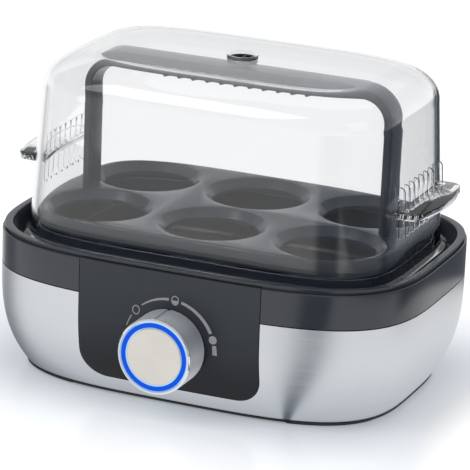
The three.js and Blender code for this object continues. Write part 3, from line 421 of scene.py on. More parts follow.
steel_bottom = 2.0 * mm
steel_top = 44.1 * mm
flank_power = 3.0
window_half = 39.3 * mm
window_bottom = 8.6 * mm
window_radius = 11.3 * mm


def welded(tree, *parts):
    """The parts as one mesh, with the points that meet merged."""
    whole = tree.nodes.new("GeometryNodeJoinGeometry")
    for part in parts:
        tree.links.new(part, whole.inputs[0])
    return add(tree, "GeometryNodeMergeByDistance", Geometry=whole.outputs[0], Distance=0.001 * mm).outputs[0]


def wall_tree():
    """A wall round a superellipse, drawn in towards its foot, with a round-cornered window at the front."""
    tree, sizes = new_tree(
        "steel_wall", Half_Length=0.1, Half_Width=0.1, Corner_Power=3.0, Middle=0.0, Bottom=0.0, Top=0.1,
        Tuck=0.01, Flank_Power=3.0, Wall=0.001, Window_Half=0.04, Window_Bottom=0.01, Window_Radius=0.01,
        Round_Steps=8, Window_Steps=8, Rows=8,
    )
    calc = calculator(tree)
    bend = sizes["Corner Power"]
    root = calc("DIVIDE", 1.0, bend)

    def sheet(columns, start, reach, narrow, spans_window):
        """A sheet from the height start up by reach, beside the window or below it.

        narrow is how much less than the window's half width its edge is.
        """
        grid = add(
            tree, "GeometryNodeMeshGrid", Size_X=1.0, Size_Y=1.0, Vertices_X=calc("ADD", columns, 1.0),
            Vertices_Y=calc("ADD", sizes["Rows"], 1.0),
        )
        here = tree.nodes.new("GeometryNodeInputPosition").outputs[0]
        spot = add(tree, "ShaderNodeSeparateXYZ", Vector=here)
        along = calc("ADD", spot.outputs["X"], 0.5)
        up = calc("ADD", spot.outputs["Y"], 0.5)
        z = calc("ADD", start, reach(up))
        rise = calc("SUBTRACT", sizes["Top"], sizes["Bottom"])
        left = calc("MAXIMUM", calc("DIVIDE", calc("SUBTRACT", sizes["Top"], z), rise), 0.0)
        inset = calc("MULTIPLY", sizes["Tuck"], calc("POWER", left, sizes["Flank Power"]))
        half_length = calc("SUBTRACT", sizes["Half Length"], inset)
        half_width = calc("SUBTRACT", sizes["Half Width"], inset)
        edge = calc("SUBTRACT", sizes["Window Half"], narrow(up))
        spread = calc("SUBTRACT", 1.0, calc("POWER", calc("DIVIDE", edge, half_length), bend))
        ahead = calc("MULTIPLY", half_width, calc("POWER", spread, root))
        swing = calc("ARCTAN2", edge, ahead)
        if spans_window:
            turn = calc("MULTIPLY", calc("MULTIPLY_ADD", along, 2.0, -1.0), swing)
        else:
            free = calc("MULTIPLY_ADD", swing, -2.0, 2 * math.pi)
            turn = calc("MULTIPLY_ADD", along, free, swing)
        sine, cosine = calc("SINE", turn), calc("COSINE", turn)
        across = calc("POWER", calc("ABSOLUTE", calc("DIVIDE", sine, half_length)), bend)
        deep = calc("POWER", calc("ABSOLUTE", calc("DIVIDE", cosine, half_width)), bend)
        radius = calc("POWER", calc("ADD", across, deep), calc("MULTIPLY", root, -1.0))
        x = calc("MULTIPLY", radius, sine)
        y = calc("SUBTRACT", sizes["Middle"], calc("MULTIPLY", radius, cosine))
        place = add(tree, "ShaderNodeCombineXYZ", X=x, Y=y, Z=z)
        moved = add(tree, "GeometryNodeSetPosition", Geometry=grid.outputs["Mesh"], Position=place.outputs[0])
        return moved.outputs[0]

    def whole_radius(share):
        return sizes["Window Radius"]

    def straight(reach):
        return lambda share: calc("MULTIPLY", share, reach)

    def curved(part):
        """How far round the window's corner: its rise from below, or its way in from the side."""
        def way(share):
            turned_by = calc(part, calc("MULTIPLY", share, math.pi / 2))
            return calc("MULTIPLY", sizes["Window Radius"], calc("SUBTRACT", 1.0, turned_by))

        return way

    foot = calc("SUBTRACT", sizes["Window Bottom"], sizes["Bottom"])
    corner_top = calc("ADD", sizes["Window Bottom"], sizes["Window Radius"])
    head = calc("SUBTRACT", sizes["Top"], corner_top)
    round_steps = sizes["Round Steps"]
    outside = welded(
        tree,
        sheet(round_steps, sizes["Bottom"], straight(foot), whole_radius, False),
        sheet(sizes["Window Steps"], sizes["Bottom"], straight(foot), whole_radius, True),
        sheet(round_steps, sizes["Window Bottom"], curved("COSINE"), curved("SINE"), False),
        sheet(round_steps, corner_top, straight(head), straight(0.0), False),
    )
    inward = add(
        tree, "GeometryNodeExtrudeMesh", Mesh=outside, Individual=False,
        Offset_Scale=calc("MULTIPLY", sizes["Wall"], -1.0),
    )
    close_tree(tree, welded(tree, inward.outputs["Mesh"], outside), sizes["Finish"])
    return tree


def aim_brushing(material, axis):
    """Lays a metal's brushing round an axis."""
    tree = material.node_tree
    tangent = add(tree, "ShaderNodeTangent", {"direction_type": "RADIAL", "axis": axis})
    feed(tree.nodes["Principled BSDF"], Tangent=tangent.outputs[0])


brushed_steel = grained(
    "brushed_steel", (0.69, 0.71, 0.735), 0.33, (14, 14, 2200), 0.004 * mm, shade=0.05, gloss=0.05,
    detail=5.0, Metallic=1.0, Anisotropic=0.5,
)
aim_brushing(brushed_steel, "Z")
steel_shell = grown(
    "steel_wall", wall_tree(), brushed_steel, Half_Length=body_outline["half_length"],
    Half_Width=body_outline["half_width"], Corner_Power=body_outline["corner_power"], Middle=middle,
    Bottom=steel_bottom, Top=steel_top, Tuck=tuck_in, Flank_Power=flank_power, Wall=steel_wall,
    Window_Half=window_half, Window_Bottom=window_bottom, Window_Radius=window_radius, Round_Steps=300,
    Window_Steps=32, Rows=14,
)
tidy(steel_shell)
gland_x, gland_z = -45 * mm, 19.4 * mm


def backward(points):
    """Turns an upright shape so that its top points to the rear, on the bush's axis."""
    return np.stack([points[:, 0] + gland_x, points[:, 2] + middle, gland_z - points[:, 1]], axis=1)


bush_hole, bush_reach = 5.5 * mm, 80 * mm
hole_corners = [(0, 0), (bush_hole, 0), (bush_hole, bush_reach), (0, bush_reach)]
combine(steel_shell, [turned_piece("hole", hole_corners, backward, steps=64)], "DIFFERENCE")
round_edges(steel_shell, 0.1 * mm, 1, 60)
finish(steel_shell, brushed_steel, "base", ["steel_shell"])

# Rim
# One anthracite moulding with a satin skin: the skirt above the steel, a groove under the flat top band, the
# trough in which the lid stands, and the collar that carries the tray, the dish and its seal.

rim_top = 60.4 * mm
rim_bottom = 44.4 * mm
groove_bottom = 58.6 * mm
groove_top = 59.8 * mm
trough_floor = 50.4 * mm
collar_top = 60.1 * mm
shelf_top = 48.4 * mm
panel_wall = 2.4 * mm
lid_outline = {"half_length": 80.5 * mm, "half_width": 53.2 * mm, "corner_power": 4.4}
anthracite = grained(
    "anthracite", (0.019, 0.025, 0.034), 0.18, (1700, 1700, 1700), 0.001 * mm, gloss=0.02,
    Specular_IOR_Level=0.7,
)
seam_swing = math.asin((window_half / body_outline["half_length"]) ** (body_outline["corner_power"] / 2))
seam_left, seam_right = 1.5 * math.pi - seam_swing, 1.5 * math.pi + seam_swing
seam_hair = 1e-5
rim_angles = even_angles(body_outline, 300, [
    seam + way * seam_hair for seam in (seam_left, seam_right) for way in (-1, 1)
])


def rim_ring(outline, inset, z, passes_panel=False):
    """A ring of the rim. One that passes the front panel is set back behind it and ends above its foot."""
    placed = []
    for angle in rim_angles:
        behind = passes_panel and seam_left < angle < seam_right
        depth = max(inset, panel_wall + seat_gap) if behind else inset
        height = max(z, shelf_top) if behind else z
        placed.append((*outline_point(outline, depth, angle), height))
    return np.array(placed)


skirt = filleted([
    (1.1 * mm, rim_bottom), (0, rim_bottom, 0.3 * mm), (0, groove_bottom, 0.6 * mm),
    (1.6 * mm, groove_bottom, 0.15 * mm), (1.6 * mm, groove_bottom + 0.2 * mm),
], steps=5)
band = filleted([
    (1.6 * mm, groove_bottom + 0.4 * mm), (1.6 * mm, groove_top), (0.8 * mm, groove_top, 0.15 * mm),
    (0.8 * mm, rim_top, 0.4 * mm), (3.7 * mm, rim_top, 0.5 * mm),
    (4.1 * mm, trough_floor, 1.6 * mm), (7.5 * mm, trough_floor),
], steps=6)
collar = filleted([
    (3.0 * mm, trough_floor), (3.4 * mm, trough_floor, 0.6 * mm), (3.4 * mm, collar_top, 0.5 * mm),
    (5.4 * mm, collar_top, 0.5 * mm), (5.4 * mm, shelf_top, 0.3 * mm), (9.4 * mm, shelf_top, 0.3 * mm),
    (9.4 * mm, 46.4 * mm, 0.3 * mm), (3.4 * mm, 46.4 * mm), (3.4 * mm, 48.2 * mm),
], steps=4)
tongue = [(2.7 * mm, 48.2 * mm), (2.7 * mm, 40.4 * mm), (1.1 * mm, 40.4 * mm)]
rim_rings = [rim_ring(body_outline, inset, z, True) for inset, z in skirt]
rim_rings += [rim_ring(body_outline, inset, z) for inset, z in band]
rim_rings += [rim_ring(lid_outline, inset, z) for inset, z in collar]
rim_rings += [rim_ring(body_outline, inset, z, True) for inset, z in tongue]
rim = new_piece("rim", *loft(rim_rings, closed=True))
combine(rim, rods_at_screws(3.4 * mm, 17.7 * mm, 47.4 * mm), "UNION")
combine(rim, rods_at_screws(screw_hole, 15.4 * mm, 46.4 * mm), "DIFFERENCE")
finish(rim, anthracite, "base", ["rim_ring"])

# Front panel
# A dark satin moulding that fills the window in the steel and the rim, flush with both behind a hair seam.
# The knob's light shines through its hole, and the settings are printed round the knob in light grey.

panel_half = 39 * mm
panel_bottom = 8.9 * mm
panel_radius = 11 * mm
panel_columns = 64
knob_x = 1.2 * mm
knob_height = 28.6 * mm
panel_plastic = grained(
    "panel_plastic", (0.040, 0.046, 0.056), 0.30, (2000, 2000, 2000), 0.002 * mm, gloss=0.03,
    Specular_IOR_Level=0.25,
)


def colour_steps(tree, share, *steps):
    """A colour that runs through (share, colour) steps."""
    ramp = add(tree, "ShaderNodeValToRGB", Fac=share)
    elements = ramp.color_ramp.elements
    for element in list(elements)[1:]:
        elements.remove(element)
    for index, (position, colour) in enumerate(steps):
        element = elements[0] if index == 0 else elements.new(position)
        element.position = position
        element.color = (*colour, 1)
    return ramp.outputs["Color"]


def times(tree, one, other, operation="MULTIPLY"):
    """The product of two colours, or what another operation makes of them."""
    made = add(tree, "ShaderNodeVectorMath", {"operation": operation})
    fill(tree, made.inputs[0], one)
    fill(tree, made.inputs[1], other)
    return made.outputs[0]


def spot_of(tree, kind="Object"):
    """The X, Y and Z of a place, in one of the texture coordinates."""
    return add(tree, "ShaderNodeSeparateXYZ", Vector=add(tree, "ShaderNodeTexCoord").outputs[kind]).outputs


tree = panel_plastic.node_tree
# Painted shade: the panel's colour is made darker towards its foot, standing in for the shade low on the
# panel.
painted_shade_height = 60 * mm
painted_foot_shade = colour_steps(
    tree, calculator(tree)("DIVIDE", spot_of(tree)["Z"], painted_shade_height), (0.15, (0.12, 0.15, 0.17)),
    (0.32, (0.32, 0.34, 0.36)), (0.46, (0.60, 0.61, 0.62)), (0.60, (0.78, 0.79, 0.80)), (0.85, (1, 1, 1)),
)
shader = tree.nodes["Principled BSDF"]
feed(shader, Base_Color=times(tree, shader.inputs["Base Color"].links[0].from_socket, painted_foot_shade))


def front_of(x, z, extra=0.0):
    """Where the front of the body lies at a width and a height, or a depth behind it."""
    rise = min(1, max(0, (z - steel_bottom) / (steel_top - steel_bottom)))
    inset = tuck_in * (1 - rise) ** flank_power + extra
    share = (abs(x) / (body_outline["half_length"] - inset)) ** body_outline["corner_power"]
    return middle - (body_outline["half_width"] - inset) * (1 - share) ** (1 / body_outline["corner_power"])


panel_rows = [
    (panel_bottom + panel_radius * (1 - math.cos(turn)), panel_half - panel_radius * (1 - math.sin(turn)))
    for turn in np.linspace(0, math.pi / 2, 17)
]
panel_rows += [(z, panel_half) for z in np.linspace(panel_bottom + panel_radius, groove_bottom, 21)[1:]]


def panel_sheet(depth):
    return [
        (x, front_of(x, z, depth), z)
        for z, half in panel_rows for x in np.linspace(-half, half, panel_columns + 1)
    ]


def panel_spot(row, column):
    return row * (panel_columns + 1) + column


last_row = len(panel_rows) - 1
sheet_size = panel_spot(last_row + 1, 0)
faces = []
for row in range(last_row):
    for column in range(panel_columns):
        quad = (
            panel_spot(row, column), panel_spot(row, column + 1),
            panel_spot(row + 1, column + 1), panel_spot(row + 1, column),
        )
        faces += [quad, tuple(sheet_size + spot for spot in reversed(quad))]
border = [panel_spot(0, column) for column in range(panel_columns)]
border += [panel_spot(row, panel_columns) for row in range(last_row)]
border += [panel_spot(last_row, column) for column in range(panel_columns, 0, -1)]
border += [panel_spot(row, 0) for row in range(last_row, 0, -1)]
for here, there in zip(border, border[1:] + border[:1]):
    faces.append((there, here, sheet_size + here, sheet_size + there))
panel = new_piece("front_panel_moulding", panel_sheet(0) + panel_sheet(panel_wall), faces)
round_edges(panel, 0.25 * mm, 2, 40)


def forward(x, z):
    """Turns an upright shape so that its top points to the front, about an axis at a width and a height."""
    return lambda points: np.stack([points[:, 0] + x, middle - points[:, 2], z + points[:, 1]], axis=1)


on_knob_axis = forward(knob_x, knob_height)
board_front = 55 * mm
board_screw_x, board_screw_z = 25 * mm, 37.4 * mm
boss_radius, boss_front = 3.2 * mm, 65.2 * mm
bore_radius, bore_front = 1.5 * mm, 62 * mm
for radius, low, high, operation in (
    (boss_radius, board_front + seat_gap, boss_front, "UNION"),
    (bore_radius, board_front - overrun, bore_front, "DIFFERENCE"),
):
    corners = [(0, low), (radius, low), (radius, high), (0, high)]
    places = [forward(side * board_screw_x, board_screw_z) for side in (-1, 1)]
    combine(panel, [turned_piece("boss", corners, place, steps=32) for place in places], operation)
light_radius, light_back, light_front = 8.3 * mm, 50 * mm, 70 * mm
light_hole = [(0, light_back), (light_radius, light_back), (light_radius, light_front), (0, light_front)]
combine(panel, [turned_piece("light_hole", light_hole, on_knob_axis, steps=64)], "DIFFERENCE")
finish(panel, panel_plastic, "base", ["front_panel"])

mark_radius = 19.5 * mm
mark_lift = 0.02 * mm
mark_grey = grained(
    "mark_print", (0.34, 0.345, 0.345), 0.55, (3000, 3000, 3000), 0.002 * mm, shade=0.06
)


def strip_of(pairs):
    """A strip of quads through pairs of points."""
    spots = [spot for pair in pairs for spot in pair]
    return spots, [(2 * i, 2 * i + 1, 2 * i + 3, 2 * i + 2) for i in range(len(pairs) - 1)]


def arc_mark(start, end, start_width, end_width):
    """A printed arc round the knob from one angle to another, in degrees, as its width changes."""
    pairs = []
    for share in np.linspace(0, 1, 49):
        angle = math.radians(start + (end - start) * share)
        half = (start_width + (end_width - start_width) * share) / 2
        way = np.array([math.cos(angle), math.sin(angle)])
        pairs.append(((mark_radius - half) * way, (mark_radius + half) * way))
    return strip_of(pairs)


def on_scale(angle):
    """The point of the scale at an angle in degrees."""
    return mark_radius * np.array([math.cos(math.radians(angle)), math.sin(math.radians(angle))])


def oval_mark(angle, half_height, half_width, hollow):
    """A printed oval on the scale, hollow up to a share of its size."""
    centre = on_scale(angle)
    pairs = []
    for turn in np.linspace(0, 2 * math.pi, 49):
        edge = np.array([half_width * math.cos(turn), half_height * math.sin(turn)])
        pairs.append((centre + hollow * edge, centre + edge))
    return strip_of(pairs)


def half_oval(angle, half_height, half_width):
    """The lower half of such an oval, filled in."""
    centre = on_scale(angle)
    pairs = []
    for turn in np.linspace(-math.pi, 0, 33):
        across = half_width * math.cos(turn)
        pairs.append((centre + (across, 0), centre + (across, half_height * math.sin(turn))))
    return strip_of(pairs)


mark_points, mark_faces = [], []
for spots, quads in (
    arc_mark(163, 148, 0.35 * mm, 0.45 * mm),
    oval_mark(139, 2.0 * mm, 1.65 * mm, 0.78),
    arc_mark(129, 92, 0.5 * mm, 1.1 * mm),
    oval_mark(84, 2.0 * mm, 1.65 * mm, 0.78),
    half_oval(84, 1.6 * mm, 1.32 * mm),
    arc_mark(76, 25, 1.15 * mm, 1.45 * mm),
    oval_mark(17, 1.75 * mm, 1.7 * mm, 0.0),
    arc_mark(10, -2, 1.8 * mm, 1.9 * mm),
):
    base = len(mark_points)
    for x, z in spots:
        mark_points.append((knob_x + x, front_of(knob_x + x, knob_height + z) - mark_lift, knob_height + z))
    mark_faces += [tuple(base + index for index in quad) for quad in quads]
setting_marks = new_piece("setting_marks", mark_points, mark_faces)
modifier = setting_marks.modifiers.new("print", "SOLIDIFY")
modifier.thickness = 0.06 * mm
modifier.offset = 0
apply_modifiers(setting_marks)
tidy(setting_marks)
finish(setting_marks, mark_grey, "base")

# Electronics behind the panel
# A circuit board on two screws carries the encoder of the knob, the light guide round it, a relay and a
# buzzer: green laminate, plated metal, moulded cases and frosted plastic.


def dress(material, *nodes):
    """Gives CAD pieces that stay as they are their finish."""
    for node in nodes:
        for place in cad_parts[node].material_slots:
            place.material = material


laminate = grained("green_laminate", (0.02, 0.13, 0.06), 0.4, (900, 900, 900), 0.01 * mm, shade=0.2)
relay_case = grained("relay_case", (0.02, 0.06, 0.16), 0.42, (1200, 1200, 1200), 0.01 * mm)
frosted = grained(
    "frosted_guide", (0.82, 0.88, 0.93), 0.35, (900, 900, 900), 0.01 * mm, shade=0.04,
    Subsurface_Weight=0.2,
)
dress(laminate, "circuit_board")
dress(relay_case, "relay")
dress(black_plastic, "buzzer")
dress(zinc, "rotary_encoder", "board_screw_left", "board_screw_right")
dress(frosted, "light_guide")

# Water dish with its seal and heater
# A drawn and coated steel dish whose flange presses a silicone ring onto the collar. An aluminium plate
# under it spreads the heat of a tubular element, and a strap on a stud pulls the dish down.

coated = grained(
    "dish_coating", (0.055, 0.057, 0.06), 0.36, (700, 700, 700), 0.01 * mm, shade=0.2, Metallic=0.4
)
silicone = grained("silicone", (0.42, 0.42, 0.40), 0.6, (1500, 1500, 1500), 0.01 * mm, Subsurface_Weight=0.15)
aluminium = grained("aluminium", (0.71, 0.72, 0.74), 0.42, (300, 2600, 2600), 0.01 * mm, Metallic=1.0)
heater_steel = grained(
    "heater_tube", (0.20, 0.19, 0.18), 0.45, (900, 900, 900), 0.01 * mm, shade=0.25, Metallic=1.0
)
ceramic = grained("ceramic", (0.66, 0.64, 0.58), 0.5, (1200, 1200, 1200), 0.01 * mm)
lid_angles = even_angles(lid_outline, 240)
dish_bottom = 39.8 * mm
dish_sheet = 0.8 * mm
flange_low = 50.2 * mm
flange_inset = 5.7 * mm
dish_profile = filleted([
    (16 * mm, dish_bottom), (10.4 * mm, dish_bottom, 4 * mm), (10.0 * mm, flange_low, 0.5 * mm),
    (flange_inset, flange_low, 0.3 * mm), (flange_inset, flange_low + dish_sheet, 0.3 * mm),
    (10.8 * mm, flange_low + dish_sheet, 1.2 * mm), (11.3 * mm, dish_bottom + dish_sheet, 4 * mm),
    (17 * mm, dish_bottom + dish_sheet),
], steps=7)
dish = skin("water_dish", lid_outline, dish_profile, lid_angles)
finish(dish, coated, "base", ["heating_dish"])
seal_low, seal_high = shelf_top + seat_gap, flange_low - seat_gap
seal_inset = 9.1 * mm
seal_profile = filleted([
    (flange_inset, seal_low, 0.4 * mm), (flange_inset, seal_high, 0.4 * mm),
    (seal_inset, seal_high, 0.4 * mm), (seal_inset, seal_low, 0.4 * mm),
], cyclic=True)
seal = skin("dish_gasket", lid_outline, seal_profile, lid_angles, closed=True)
finish(seal, silicone, "base", ["dish_seal"])
dress(aluminium, "heater_plate")
dress(heater_steel, "heating_element")
dress(zinc, "retaining_strap", "dish_stud", "dish_nut", "fuse_clip")
dress(ceramic, "thermostat", "thermal_fuse")

# Knob
# A brushed metal sleeve with a pointer groove, a bright chamfered bezel, a ring that is lit blue from behind
# and a spun metal face. They are pressed onto a plastic hub, which sits on the flat of the encoder's shaft.

knob_back = 67.4 * mm
knob_front = 81.6 * mm
sleeve_inner = 14.7 * mm
knob_radius = 15.6 * mm
bezel_back = knob_front - 0.9 * mm
knob_facets = 128
sleeve_metal = grained(
    "sleeve_metal", (0.66, 0.67, 0.70), 0.55, (40, 2400, 40), 0.004 * mm, shade=0.05, Metallic=1.0,
    Anisotropic=0.85, Anisotropic_Rotation=0.25,
)
aim_brushing(sleeve_metal, "Y")
bezel_metal = grained(
    "bezel_chrome", (0.82, 0.81, 0.80), 0.12, (600, 600, 600), 0.001 * mm, shade=0.03, Metallic=1.0
)
spun_metal = grained(
    "spun_metal", (0.72, 0.70, 0.65), 0.30, (900, 900, 900), 0.0003 * mm, shade=0.03, gloss=0.01,
    Metallic=1.0, Anisotropic=0.85, Anisotropic_Rotation=0.25,
)
aim_brushing(spun_metal, "Y")
sleeve = turned_piece("knob_side", [
    (sleeve_inner, knob_back), (knob_radius, knob_back, 0.25 * mm),
    (knob_radius, bezel_back - seat_gap, 0.12 * mm), (sleeve_inner, bezel_back - seat_gap),
], on_knob_axis, knob_facets)
groove_half, groove_floor, groove_reach = 0.8 * mm, 15.15 * mm, 18 * mm
groove_points, groove_faces = prism([
    (-groove_half, groove_floor), (groove_half, groove_floor), (groove_half, groove_reach),
    (-groove_half, groove_reach),
], knob_back - overrun, bezel_back)
combine(sleeve, [new_piece("groove", on_knob_axis(groove_points), groove_faces)], "DIFFERENCE")
finish(sleeve, sleeve_metal, "knob", ["knob_sleeve"])
bezel = turned_piece("knob_front_ring", [
    (14.55 * mm, bezel_back), (knob_radius, bezel_back, 0.1 * mm),
    (knob_radius, knob_front - 0.6 * mm, 0.4 * mm), (knob_radius - 0.6 * mm, knob_front, 0.4 * mm),
    (sleeve_inner, knob_front, 0.1 * mm),
], on_knob_axis, knob_facets)
finish(bezel, bezel_metal, "knob", ["knob_bezel"])

ring_inner = 12 * mm
ring_outer = 14.1 * mm
ring_bore = 3.3 * mm
ring_floor = 68.9 * mm
ring_front = knob_front - 0.3 * mm
lit_plastic = grained(
    "lit_ring", (0.001, 0.005, 0.03), 0.3, (900, 900, 900), 0.001 * mm, Emission_Strength=1.0,
    Specular_IOR_Level=0.1,
)
tree = lit_plastic.node_tree
calc = calculator(tree)
spot = spot_of(tree)
aside = calc("POWER", calc("SUBTRACT", spot["X"], knob_x), 2.0)
above = calc("POWER", calc("SUBTRACT", spot["Z"], knob_height), 2.0)
from_axis = calc("SQRT", calc("ADD", aside, above))
ring_share = calc("DIVIDE", calc("SUBTRACT", from_axis, ring_inner), ring_outer - ring_inner)
pale, deep_blue = (0.45, 0.68, 0.95), (0.001, 0.085, 0.72)
glow = colour_steps(tree, ring_share, (0.0, pale), (0.07, deep_blue), (0.93, deep_blue), (1.0, pale))
feed(tree.nodes["Principled BSDF"], Emission_Color=glow)
light_ring = turned_piece("knob_lit_ring", [
    (ring_bore, knob_back + seat_gap), (ring_outer, knob_back + seat_gap), (ring_outer, ring_front, 0.2 * mm),
    (ring_inner, ring_front, 0.2 * mm), (ring_inner, ring_floor), (ring_bore, ring_floor),
], on_knob_axis, knob_facets)
finish(light_ring, lit_plastic, "knob", ["knob_light_ring"])
face_front = knob_front - 0.4 * mm
face_radius = 11.7 * mm
face = turned_piece("knob_spun_face", [
    (0, face_front - 2.7 * mm), (face_radius, face_front - 2.7 * mm),
    (face_radius, face_front - 0.2 * mm, 0.15 * mm), (face_radius - 0.4 * mm, face_front, 0.15 * mm),
    (6.5 * mm, face_front - 0.28 * mm), (0, face_front - 0.4 * mm),
], on_knob_axis, knob_facets)
finish(face, spun_metal, "knob", ["knob_face"], crease=50)
dress(black_plastic, "knob_hub")
dress(zinc, "knob_shaft")

# Mains side
# A black bush fills the hole in the rear wall, behind a ceramic terminal block on the floor. Sleeved wires
# run from the block to the board, and from the board to the heater.

gland_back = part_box("mains_gland")[1].y - middle - 2.2 * mm
bush_bore, bush_neck, bush_flange = 3.5 * mm, 5.2 * mm, 7.5 * mm
bush_front, bush_end = gland_back - 6 * mm, gland_back + 2.2 * mm
gland = turned_piece("cord_bush", [
    (bush_bore, bush_front, 0.4 * mm), (bush_neck, bush_front, 0.3 * mm), (bush_neck, gland_back),
    (bush_flange, gland_back, 0.2 * mm), (bush_flange, gland_back + 1.4 * mm, 0.9 * mm),
    (6.4 * mm, bush_end, 0.6 * mm), (bush_bore, bush_end, 0.5 * mm),
], backward, steps=72)
finish(gland, black_plastic, "base", ["mains_gland"])
wire_brown = grained("wire_brown", (0.10, 0.035, 0.015), 0.5, (1500, 1500, 1500), 0.01 * mm)
wire_blue = grained("wire_blue", (0.02, 0.07, 0.30), 0.5, (1500, 1500, 1500), 0.01 * mm)
dress(ceramic, "terminal_block")
dress(wire_brown, "mains_lead_live", "heater_lead_live")
dress(wire_blue, "mains_lead_neutral", "heater_lead_neutral")

# Tray
# A dark satin moulding that rests on the collar inside the lid. Its six seats are dished with soft lips, and
# its two slots take the tenons of the handle.

tray_plastic = grained(
    "tray_plastic", (0.024, 0.030, 0.039), 0.22, (1500, 1500, 1500), 0.001 * mm, gloss=0.02,
    Specular_IOR_Level=0.35,
)
tray_top = 67.9 * mm
tray_low = collar_top + seat_gap
tray_wall = 1.8 * mm
seat_pitch, seat_aside = 50.3 * mm, 23.85 * mm
seat_radius, lip_radius = 19 * mm, 24.2 * mm
tray_profile = filleted([
    (9 * mm, tray_top - tray_wall), (5.6 * mm, tray_top - tray_wall, 0.6 * mm),
    (5.6 * mm, tray_low, 0.3 * mm), (3.8 * mm, tray_low, 0.3 * mm), (3.8 * mm, tray_top, 1.3 * mm),
    (9 * mm, tray_top),
], steps=7)
tray = skin("seat_tray", lid_outline, tray_profile, lid_angles)
seats = [
    upright_at(x, middle + y) for x in (-seat_pitch, 0, seat_pitch) for y in (-seat_aside, seat_aside)
]
collar_corners = [(0, 62.8 * mm), (20.6 * mm, 62.8 * mm, 0.5 * mm), (22.5 * mm, 67.0 * mm), (0, 67.0 * mm)]
seat_corners = [
    (0, 60 * mm), (seat_radius, 60 * mm), (seat_radius, 64.4 * mm, 0.7 * mm),
    (22.35 * mm, 67.65 * mm, 1.5 * mm), (lip_radius, 68.02 * mm), (lip_radius, 71 * mm), (0, 71 * mm),
]
for corners, fillet_steps, operation in ((collar_corners, 4, "UNION"), (seat_corners, 6, "DIFFERENCE")):
    combine(tray, [turned_piece("seat", corners, place, 120, fillet_steps) for place in seats], operation)


def block_across(name, low_x, high_x, half_width, low_z, high_z):
    """A block centred on the body's middle."""
    outline = [
        (low_x, middle - half_width), (high_x, middle - half_width),
        (high_x, middle + half_width), (low_x, middle + half_width),
    ]
    return new_piece(name, *prism(outline, low_z, high_z))


leg_places = (-65.9 * mm, 65.9 * mm)
combine(tray, [
    block_across("slot", x - 1.3 * mm, x + 1.3 * mm, 4.3 * mm, 63 * mm, 70 * mm) for x in leg_places
], "DIFFERENCE")
finish(tray, tray_plastic, "tray", ["egg_tray"], crease=40)

# Handle
# An arched strap of the same plastic with rounded edges. Its tenons are pressed into the tray's slots, and
# finger ribs are moulded across the underside of its bar.

handle_half = 67.5 * mm
handle_top = 126.4 * mm
handle_thickness = 3.2 * mm
handle_width = 12 * mm
handle_corner = 14 * mm - handle_thickness / 2


def handle_stations():
    """Places along the middle of the strap, with the direction that points outwards there."""
    side = handle_half - handle_thickness / 2
    top = handle_top - handle_thickness / 2
    stations = [(side, z, 1.0, 0.0) for z in np.linspace(tray_top + seat_gap, top - handle_corner, 8)[:-1]]
    for turn in np.linspace(0, math.pi / 2, 20):
        out = (math.cos(turn), math.sin(turn))
        stations.append((side - handle_corner * (1 - out[0]), top - handle_corner * (1 - out[1]), *out))
    stations += [(x, top, 0.0, 1.0) for x in np.linspace(side - handle_corner, 0, 12)[1:]]
    return stations + [(-x, z, -out_x, out_z) for x, z, out_x, out_z in reversed(stations[:-1])]


section = filleted([
    (-handle_thickness / 2, -handle_width / 2, 0.8 * mm), (handle_thickness / 2, -handle_width / 2, 0.8 * mm),
    (handle_thickness / 2, handle_width / 2, 0.8 * mm), (-handle_thickness / 2, handle_width / 2, 0.8 * mm),
], cyclic=True, steps=4)
handle = new_piece("carrying_handle", *loft([
    np.array([(x + out_x * across, middle + wide, z + out_z * across) for across, wide in section])
    for x, z, out_x, out_z in handle_stations()
]))


def in_row(tree, sizes, piece, axis, **start):
    """Count copies of a piece, Pitch apart along an axis, with their middle at the start."""
    calc = calculator(tree)
    gaps = calc("SUBTRACT", sizes["Count"], 1.0)
    half_span = calc("MULTIPLY", gaps, calc("MULTIPLY", sizes["Pitch"], -0.5))
    start[axis] = calc("ADD", half_span, start[axis]) if axis in start else half_span
    row = add(
        tree, "GeometryNodeMeshLine", Count=sizes["Count"],
        Start_Location=add(tree, "ShaderNodeCombineXYZ", **start).outputs[0],
        Offset=add(tree, "ShaderNodeCombineXYZ", **{axis: sizes["Pitch"]}).outputs[0],
    )
    return add(tree, "GeometryNodeInstanceOnPoints", Points=row.outputs[0], Instance=piece).outputs[0]


def rib_tree():
    """A row of rounded ribs along Y that hang from a plane, side by side along X."""
    tree, sizes = new_tree(
        "finger_ribs", Count=3, Pitch=0.01, Length=0.01, Radius=0.001, Drop=0.001, Height=0.1, Middle=0.0
    )
    rib = add(tree, "GeometryNodeMeshCylinder", Vertices=20, Radius=sizes["Radius"], Depth=sizes["Length"])
    laid = add(tree, "GeometryNodeTransform", Geometry=rib.outputs["Mesh"], Rotation=(math.pi / 2, 0, 0))
    squash = add(
        tree, "ShaderNodeCombineXYZ", X=1.0, Y=1.0,
        Z=calculator(tree)("DIVIDE", sizes["Drop"], sizes["Radius"]),
    )
    flat = add(tree, "GeometryNodeTransform", Geometry=laid.outputs[0], Scale=squash.outputs[0])
    ribs = in_row(tree, sizes, flat.outputs[0], "X", Y=sizes["Middle"], Z=sizes["Height"])
    close_tree(tree, ribs, sizes["Finish"])
    return tree


finger_ribs = grown(
    "finger_ribs", rib_tree(), tray_plastic, Count=11, Pitch=6.2 * mm, Length=handle_width - 0.4 * mm,
    Radius=0.8 * mm, Drop=0.9 * mm, Height=handle_top - handle_thickness, Middle=middle,
)
tenons = [
    block_across("tenon", x - 1 * mm, x + 1 * mm, 4 * mm, 63.7 * mm, 70.2 * mm) for x in leg_places
]
combine(handle, [finger_ribs, *tenons], "UNION")
finish(handle, tray_plastic, "tray", ["tray_handle"])

# Lid
# One clear moulding with a flared foot that stands in the rim's trough, a round shoulder, and a grip tab with
# thin ribs at either end. The boss in the middle of its top holds the vent.

